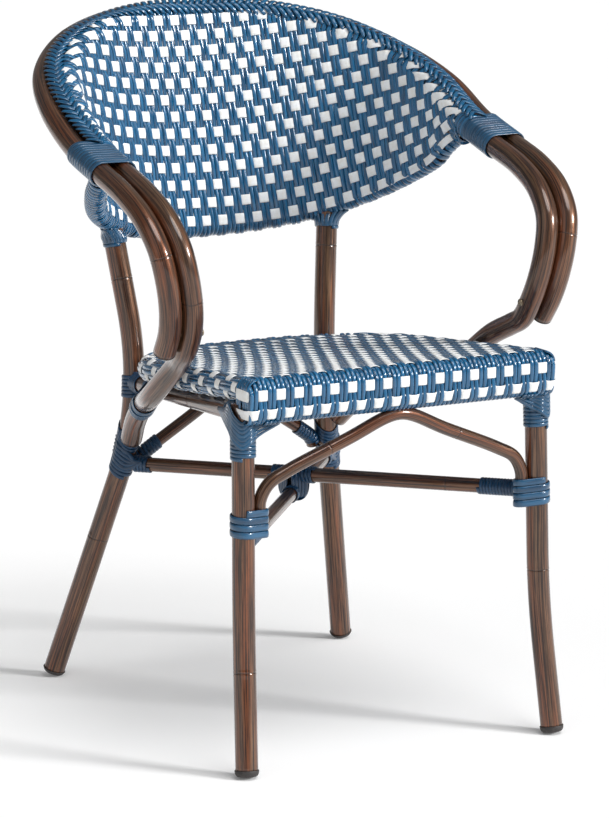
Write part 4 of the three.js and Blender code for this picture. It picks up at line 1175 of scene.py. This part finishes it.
def hoop_turn(here):
    """The share of a quarter turn from beside the hoop to before it, at a place on the arm."""
    for i in range(5, len(outer_half) - 1):
        run = outer_half[i + 1] - outer_half[i]
        part = (here - outer_half[i]) @ run / (run @ run)
        if part <= 1:
            return HOOP_ROWS[i][3] + (HOOP_ROWS[i + 1][3] - HOOP_ROWS[i][3]) * max(part, 0)
    return 1


ARM_LASHING = 277.0  # from the arm's end, along the outer hoop
ARCH_LASHING = 269.0  # height on the front leg


def winding(name, turns, pitch, wide, deep, stand, at, sign, steps=44):
    """One strand wound round two tubes; at gives their middles, radii and way after a distance."""
    line, outs = [], []
    for i in range(int(turns * steps) + 1):
        turn = i / steps
        a, b, radius_a, radius_b, along = at((turn + 0.5) * pitch)
        place, out = loop_point(turn, a, b, radius_a + stand, radius_b + stand, along)
        line.append(place), outs.append(out)
    skin = Skin()
    skin.sweep(on_side(np.array(line), sign), on_side(np.array(outs), sign), wide, deep, 10, power=0.9)
    skin.piece(name + "_strand", lashing_blue, "lashing_strand", [name])


def arms_at(distance):
    distance = ARM_LASHING + distance
    place, along = outer_hoop.at(distance), outer_hoop.way(distance)
    across = sitter_side(hoop_turn(place))
    return place, place + across * HOOP_PITCH, TUBE / 2, TUBE / 2, along


def arch_at(distance):
    place = front_leg.at_height(ARCH_LASHING + distance)
    return place, place + vec(-leg_to_arch, 0, 0), TUBE / 2, ARCH / 2, vec(0, 0, 1)


for side, sign in SIDES:
    winding(f"arm_lashing_{side}", 10.2, 6.5, 3.25, 1.1, 1.4, arms_at, sign)
    winding(f"arch_lashing_{side}", 3.45, 8.2, 4.0, 1.2, 1.5, arch_at, sign)


def coil(skin, path, low, high, radius, wide=2.3, deep=0.8, tilt=0.0, front=(0, -1, 0)):
    """A strand wound closely round a tube, on a slope when tilt is how far its back runs ahead."""
    turns = max((high - low - 2 * wide) / (2 * wide * 0.98), 0.02)
    share = np.linspace(0, 1, max(int(turns * 26), 3) + 1)
    distance = low + wide + (high - low - 2 * wide) * share
    centre, way = path.at(distance), path.way(distance, 3)
    front = vec(*front)
    side = unit(front - np.sum(way * front, 1, keepdims=True) * way)
    other = np.cross(way, side)
    angle = 2 * math.pi * turns * share
    out = side * np.cos(angle)[:, None] + other * np.sin(angle)[:, None]
    slope = way * (tilt * (1 - np.cos(angle)) / 2)[:, None]
    skin.sweep(centre + out * (radius + deep + CLEAR) + slope, out, wide, deep, 8, power=0.9)


def band(skin, places, wide=2.5, steps=36):
    """A strand through given places, each with the way out there."""
    points, outs = (np.array(p) for p in zip(*places))
    line = curve_through(points, steps // (len(points) - 1))
    out = unit(interpolated(np.linspace(0, 1, len(line)), np.linspace(0, 1, len(points)), outs))
    skin.sweep(line, out, wide, 0.9, 8, power=0.9)


def joining_loops(skin, first, second, radius_first, radius_second, along, spread, count):
    """Closed turns side by side round two tubes."""
    wide, deep = 2.4, 0.9
    stand = deep + CLEAR
    for i in range(count):
        shift = unit(along) * (i - (count - 1) / 2) * spread
        loop = [loop_point(turn, first + shift, second + shift, radius_first + stand, radius_second + stand, along)
                for turn in np.linspace(0, 1, 44, endpoint=False)]
        line, outs = (np.array(p) for p in zip(*loop))
        skin.sweep(line, outs, wide, deep, 8, power=0.9, closed=True)


def round_leg(degrees):
    return level(math.radians(degrees))


def by_leg(height, degrees, stand):
    """A place beside the leg in hand, and the way out there."""
    return leg.at_height(height) + round_leg(degrees) * stand, round_leg(degrees)


def lashing(skin, node, sign, material, ending="_strands"):
    """Makes a lashing's strands, laid out on the right, into the piece for its side."""
    if sign < 0:
        skin.mirror()
    skin.piece(node + ending, material, "lashing_strand", [node])


apron_low = apron_bottom - CLEAR
for side, sign in SIDES:
    # The front corner: turns round the leg, and above them vees that open to the side rail and the front rail
    leg, rail = front_leg, side_rails["right"]
    skin = Skin()
    low = leg.distance_at_height(apron_low - 46)
    coil(skin, leg, low, low + 43, TUBE / 2, front=(0.5, -0.87, 0))
    coil(skin, rail, 14, 37, SIDE_RAIL / 2)
    for i in range(7):
        z = apron_low - 30 + 4.6 * i
        reach = 36 - 4.2 * i
        rail_face = rail.at(14 + reach) + vec(SIDE_RAIL / 2 + 1.8, 0, 3)
        places = [
            (rail_face, vec(1, 0, 0.2)),
            by_leg(z + 19, 20, 16.4), by_leg(z + 7, -25, 16.2), by_leg(z, -60, 16.1), by_leg(z + 6, -95, 16.2),
            (by_leg(min(z + 12, apron_low - 7), -140, 16.5)[0], round_leg(-130)),
            (vec(leg.at_height(apron_low)[0] - 19 - 0.5 * reach, -247, apron_low - 4.5), vec(-0.2, -0.6, -0.8)),
        ]
        band(skin, places, steps=48)
    for i in range(4):
        ahead = 16 + 5.0 * i
        front = vec(leg.at_height(apron_low)[0] - ahead, front_rail_y, front_rail_z)
        turn = np.linspace(-160, -50, 9)
        out = np.stack([0 * turn, -np.cos(np.radians(turn)), np.sin(np.radians(turn))], -1)
        skin.sweep(front + out * (apron_radius(turn) + 2.3)[:, None], out, 2.4, 0.8, 8)
    lashing(skin, f"corner_lashing_{side}", sign, lashing_blue)

    # Where the seat's rails meet the rear leg
    leg = rear_leg
    skin = Skin()
    middle = leg.distance_at_height(rear_rail_height)
    coil(skin, leg, middle - 17, middle + 15, TUBE / 2, tilt=-4)
    coil(skin, rail, rail.length - 44, rail.length - 14, SIDE_RAIL / 2)
    coil(skin, rear_rail, rear_rail.length - 30, rear_rail.length - 13, REAR_RAIL / 2)
    lashing(skin, f"seat_lashing_{side}", sign, lashing_shaded)

    # Where the arm's tail, a stretcher and the rear arch meet the rear leg
    stretcher = stretchers["stretcher_lower"] if sign > 0 else stretchers["stretcher_upper"].mirrored()
    height = STRETCHER_REAR[side]
    skin = Skin()
    coil(skin, leg, leg.distance_at_height(height - 16), leg.distance_at_height(height + 14), TUBE / 2, tilt=9)
    coil(skin, leg, leg.distance_at_height(height + 13), leg.distance_at_height(height + 36), TUBE / 2, tilt=22)
    coil(skin, stretcher, 13, 40, STRETCHER / 2)
    coil(skin, rear_arch, 3, 42, ARCH / 2)
    for i in range(5):
        z = height - 4 + 4.6 * i
        places = [
            (stretcher.at(26 - 2.4 * i) + vec(4, -9.5, 4), vec(0.3, -1, 0.3)),
            by_leg(z, -80, 15.6), by_leg(z + 9, -20, 15.2), by_leg(z + 19, 40, 15.2),
        ]
        band(skin, places)
    lashing(skin, f"low_lashing_{side}", sign, lashing_shaded)

    # The front end of a stretcher
    stretcher = stretchers["stretcher_upper" if sign > 0 else "stretcher_lower"]
    skin = Skin()
    coil(skin, stretcher, stretcher.length - 72, stretcher.length - 18.5, STRETCHER / 2, wide=2.0, deep=0.7)
    skin.piece(f"stretcher_sleeve_{side}_strand", lashing_shaded, "lashing_strand", [f"stretcher_sleeve_{side}"])

    # The top of the rear leg, under the back: turns, and strands that spread out along the back rail
    skin = Skin()
    top = leg.length
    coil(skin, leg, top - 22, top - 11, TUBE / 2, wide=2.1)
    rail_way = unit(back_rail.way(JOIN_SHARE * back_rail.length) * [1, 1, 0])
    for degrees in range(0, 360, 20):
        out = round_leg(degrees)
        head = rail_join + rail_way * (17 * (out @ rail_way)) + out * 9 - vec(0, 0, 5)
        places = [leg.at(top - 16) + out * 14.0, leg.at(top - 11) + out * 15.0,
                  (leg.at(top - 8) + out * 14.4 + head) / 2, head]
        band(skin, [(place, out) for place in places], wide=2.6, steps=18)
    lashing(skin, f"post_lashing_{side}", sign, lashing_blue, "_strand")

    # The arm's tail against the side rail
    skin = Skin()
    nearest = np.argmin(np.linalg.norm(inner_hoop.points - tail_half[2], axis=1))
    at = inner_hoop.at_point[nearest]
    coil(skin, inner_hoop, at - 23, at + 15, TUBE / 2)
    tail_place, tail_way = inner_hoop.at(at - 11), inner_hoop.way(at - 11)
    share = (tail_place[1] - LEG_TOP[1]) / (behind_seat[1] - LEG_TOP[1]) * rail.length
    coil(skin, rail, share - 6, share + 15, SIDE_RAIL / 2)
    across = unit(rail.at(share) - tail_place)
    along = np.cross(across, unit(np.cross(tail_way, rail.at(share) - tail_place)))
    joining_loops(skin, tail_place, rail.at(share), TUBE / 2, SIDE_RAIL / 2, along, 4.6, 4)
    lashing(skin, f"arm_tie_{side}", sign, lashing_blue)

skin = Skin()
ends = [(p.at(0), p.at(p.length)) for p in stretchers.values()]
shares = [start[0] / (start[0] - end[0]) for start, end in ends]
for share, path in zip(shares, stretchers.values()):
    middle = share * path.length
    coil(skin, path, middle - 30, middle - 8, STRETCHER / 2)
    coil(skin, path, middle + 8, middle + 30, STRETCHER / 2)
crossings = [start + (end - start) * share for share, (start, end) in zip(shares, ends)]
centre = (crossings[0] + crossings[1]) / 2
half_gap = abs(crossings[0][2] - crossings[1][2]) / 2
ways = [unit(end - start) for start, end in ends]
angle = np.linspace(0, 2 * math.pi, 48, endpoint=False)
c, s = (np.sign(v) * np.abs(v) ** 0.8 for v in (np.cos(angle), np.sin(angle)))
wide, tall = STRETCHER / 2 + 6.5, STRETCHER / 2 + half_gap + 1.4
for i in range(-2, 3):
    for sign in (1, -1):
        diagonal = unit(ways[0] * [1, 1, 0] + sign * ways[1] * [1, 1, 0])
        other = np.cross(vec(0, 0, 1), diagonal)
        line = centre + diagonal * i * 4.4 + other * (wide * c)[:, None] + vec(0, 0, 1) * (tall * s)[:, None]
        out = other * np.cos(angle)[:, None] + vec(0, 0, 1) * np.sin(angle)[:, None]
        skin.sweep(line, out, 2.3, 0.9, 8, power=0.9, closed=True)
skin.piece("cross_lashing_strands", lashing_shaded, "lashing_strand", ["cross_lashing"])


# ---------------------------------------------------------------- floor, light and camera

def stage():
    floor_mesh = bpy.data.meshes.new("floor")
    r = 60.0
    floor_mesh.from_pydata([(-r, -r, 0), (r, -r, 0), (r, r, 0), (-r, r, 0)], [], [(0, 1, 2, 3)])
    floor = bpy.data.objects.new("floor", floor_mesh)
    bpy.context.scene.collection.objects.link(floor)
    n = Nodes("floor_paint")
    path = n.node("LightPath")
    seen = n.math("MAXIMUM", path.outputs["Is Camera Ray"], path.outputs["Is Glossy Ray"])
    shade = n.mix(n.noise(n.place(), 0.6, 2), (0.93, 0.93, 0.93, 1), (0.95, 0.95, 0.95, 1))
    glow = n.math("MULTIPLY", seen, 0.1)
    n.set(Base_Color=shade, Roughness=0.9, Emission_Color=(1, 1, 1, 1), Emission_Strength=glow)
    floor.data.materials.append(n.material)

    world = bpy.data.worlds.new("studio")
    bpy.context.scene.world = world
    world.use_nodes = True
    tree = world.node_tree
    background = tree.nodes["Background"]
    path = tree.nodes.new("ShaderNodeLightPath")
    seen = tree.nodes.new("ShaderNodeMath")
    seen.operation = "MAXIMUM"
    tree.links.new(path.outputs["Is Camera Ray"], seen.inputs[0])
    tree.links.new(path.outputs["Is Transmission Ray"], seen.inputs[1])
    strength = tree.nodes.new("ShaderNodeMapRange")
    strength.inputs[3].default_value = 0.2
    strength.inputs[4].default_value = 1.0
    tree.links.new(seen.outputs[0], strength.inputs[0])
    tree.links.new(strength.outputs[0], background.inputs[1])
    background.inputs[0].default_value = (1, 1, 1, 1)

    for name, towards, power, size in (
        ("key", (0.62, -0.72, 0.42), 2.8, 13),
        ("top", (0.12, -0.4, 0.9), 1.4, 34),
        ("fill", (-0.75, -0.4, 0.45), 0.25, 50),
    ):
        lamp = bpy.data.lights.new(name, "SUN")
        lamp.energy = power
        lamp.angle = math.radians(size)
        holder = bpy.data.objects.new(name, lamp)
        holder.rotation_euler = Vector(towards).to_track_quat("Z", "Y").to_euler()
        bpy.context.scene.collection.objects.link(holder)


def camera():
    azimuth, elevation, distance = -0.49157, 0.19527, 5.0  # in radians and metres
    level_way = Vector((math.sin(azimuth), -math.cos(azimuth), 0))
    back = level_way * math.cos(elevation) + Vector((0, 0, math.sin(elevation)))
    target = Vector((0, (-19.64 + shift_y) / 1000, 0.36357))
    data = bpy.data.cameras.new("camera")
    data.sensor_width = 36
    data.lens = 186.6
    data.clip_end = 200
    holder = bpy.data.objects.new("camera", data)
    holder.location = target + back * distance
    holder.rotation_euler = back.to_track_quat("Z", "Y").to_euler()
    bpy.context.scene.collection.objects.link(holder)
    bpy.context.scene.camera = holder


stage()
camera()
bpy.context.scene.view_settings.view_transform = "Standard"
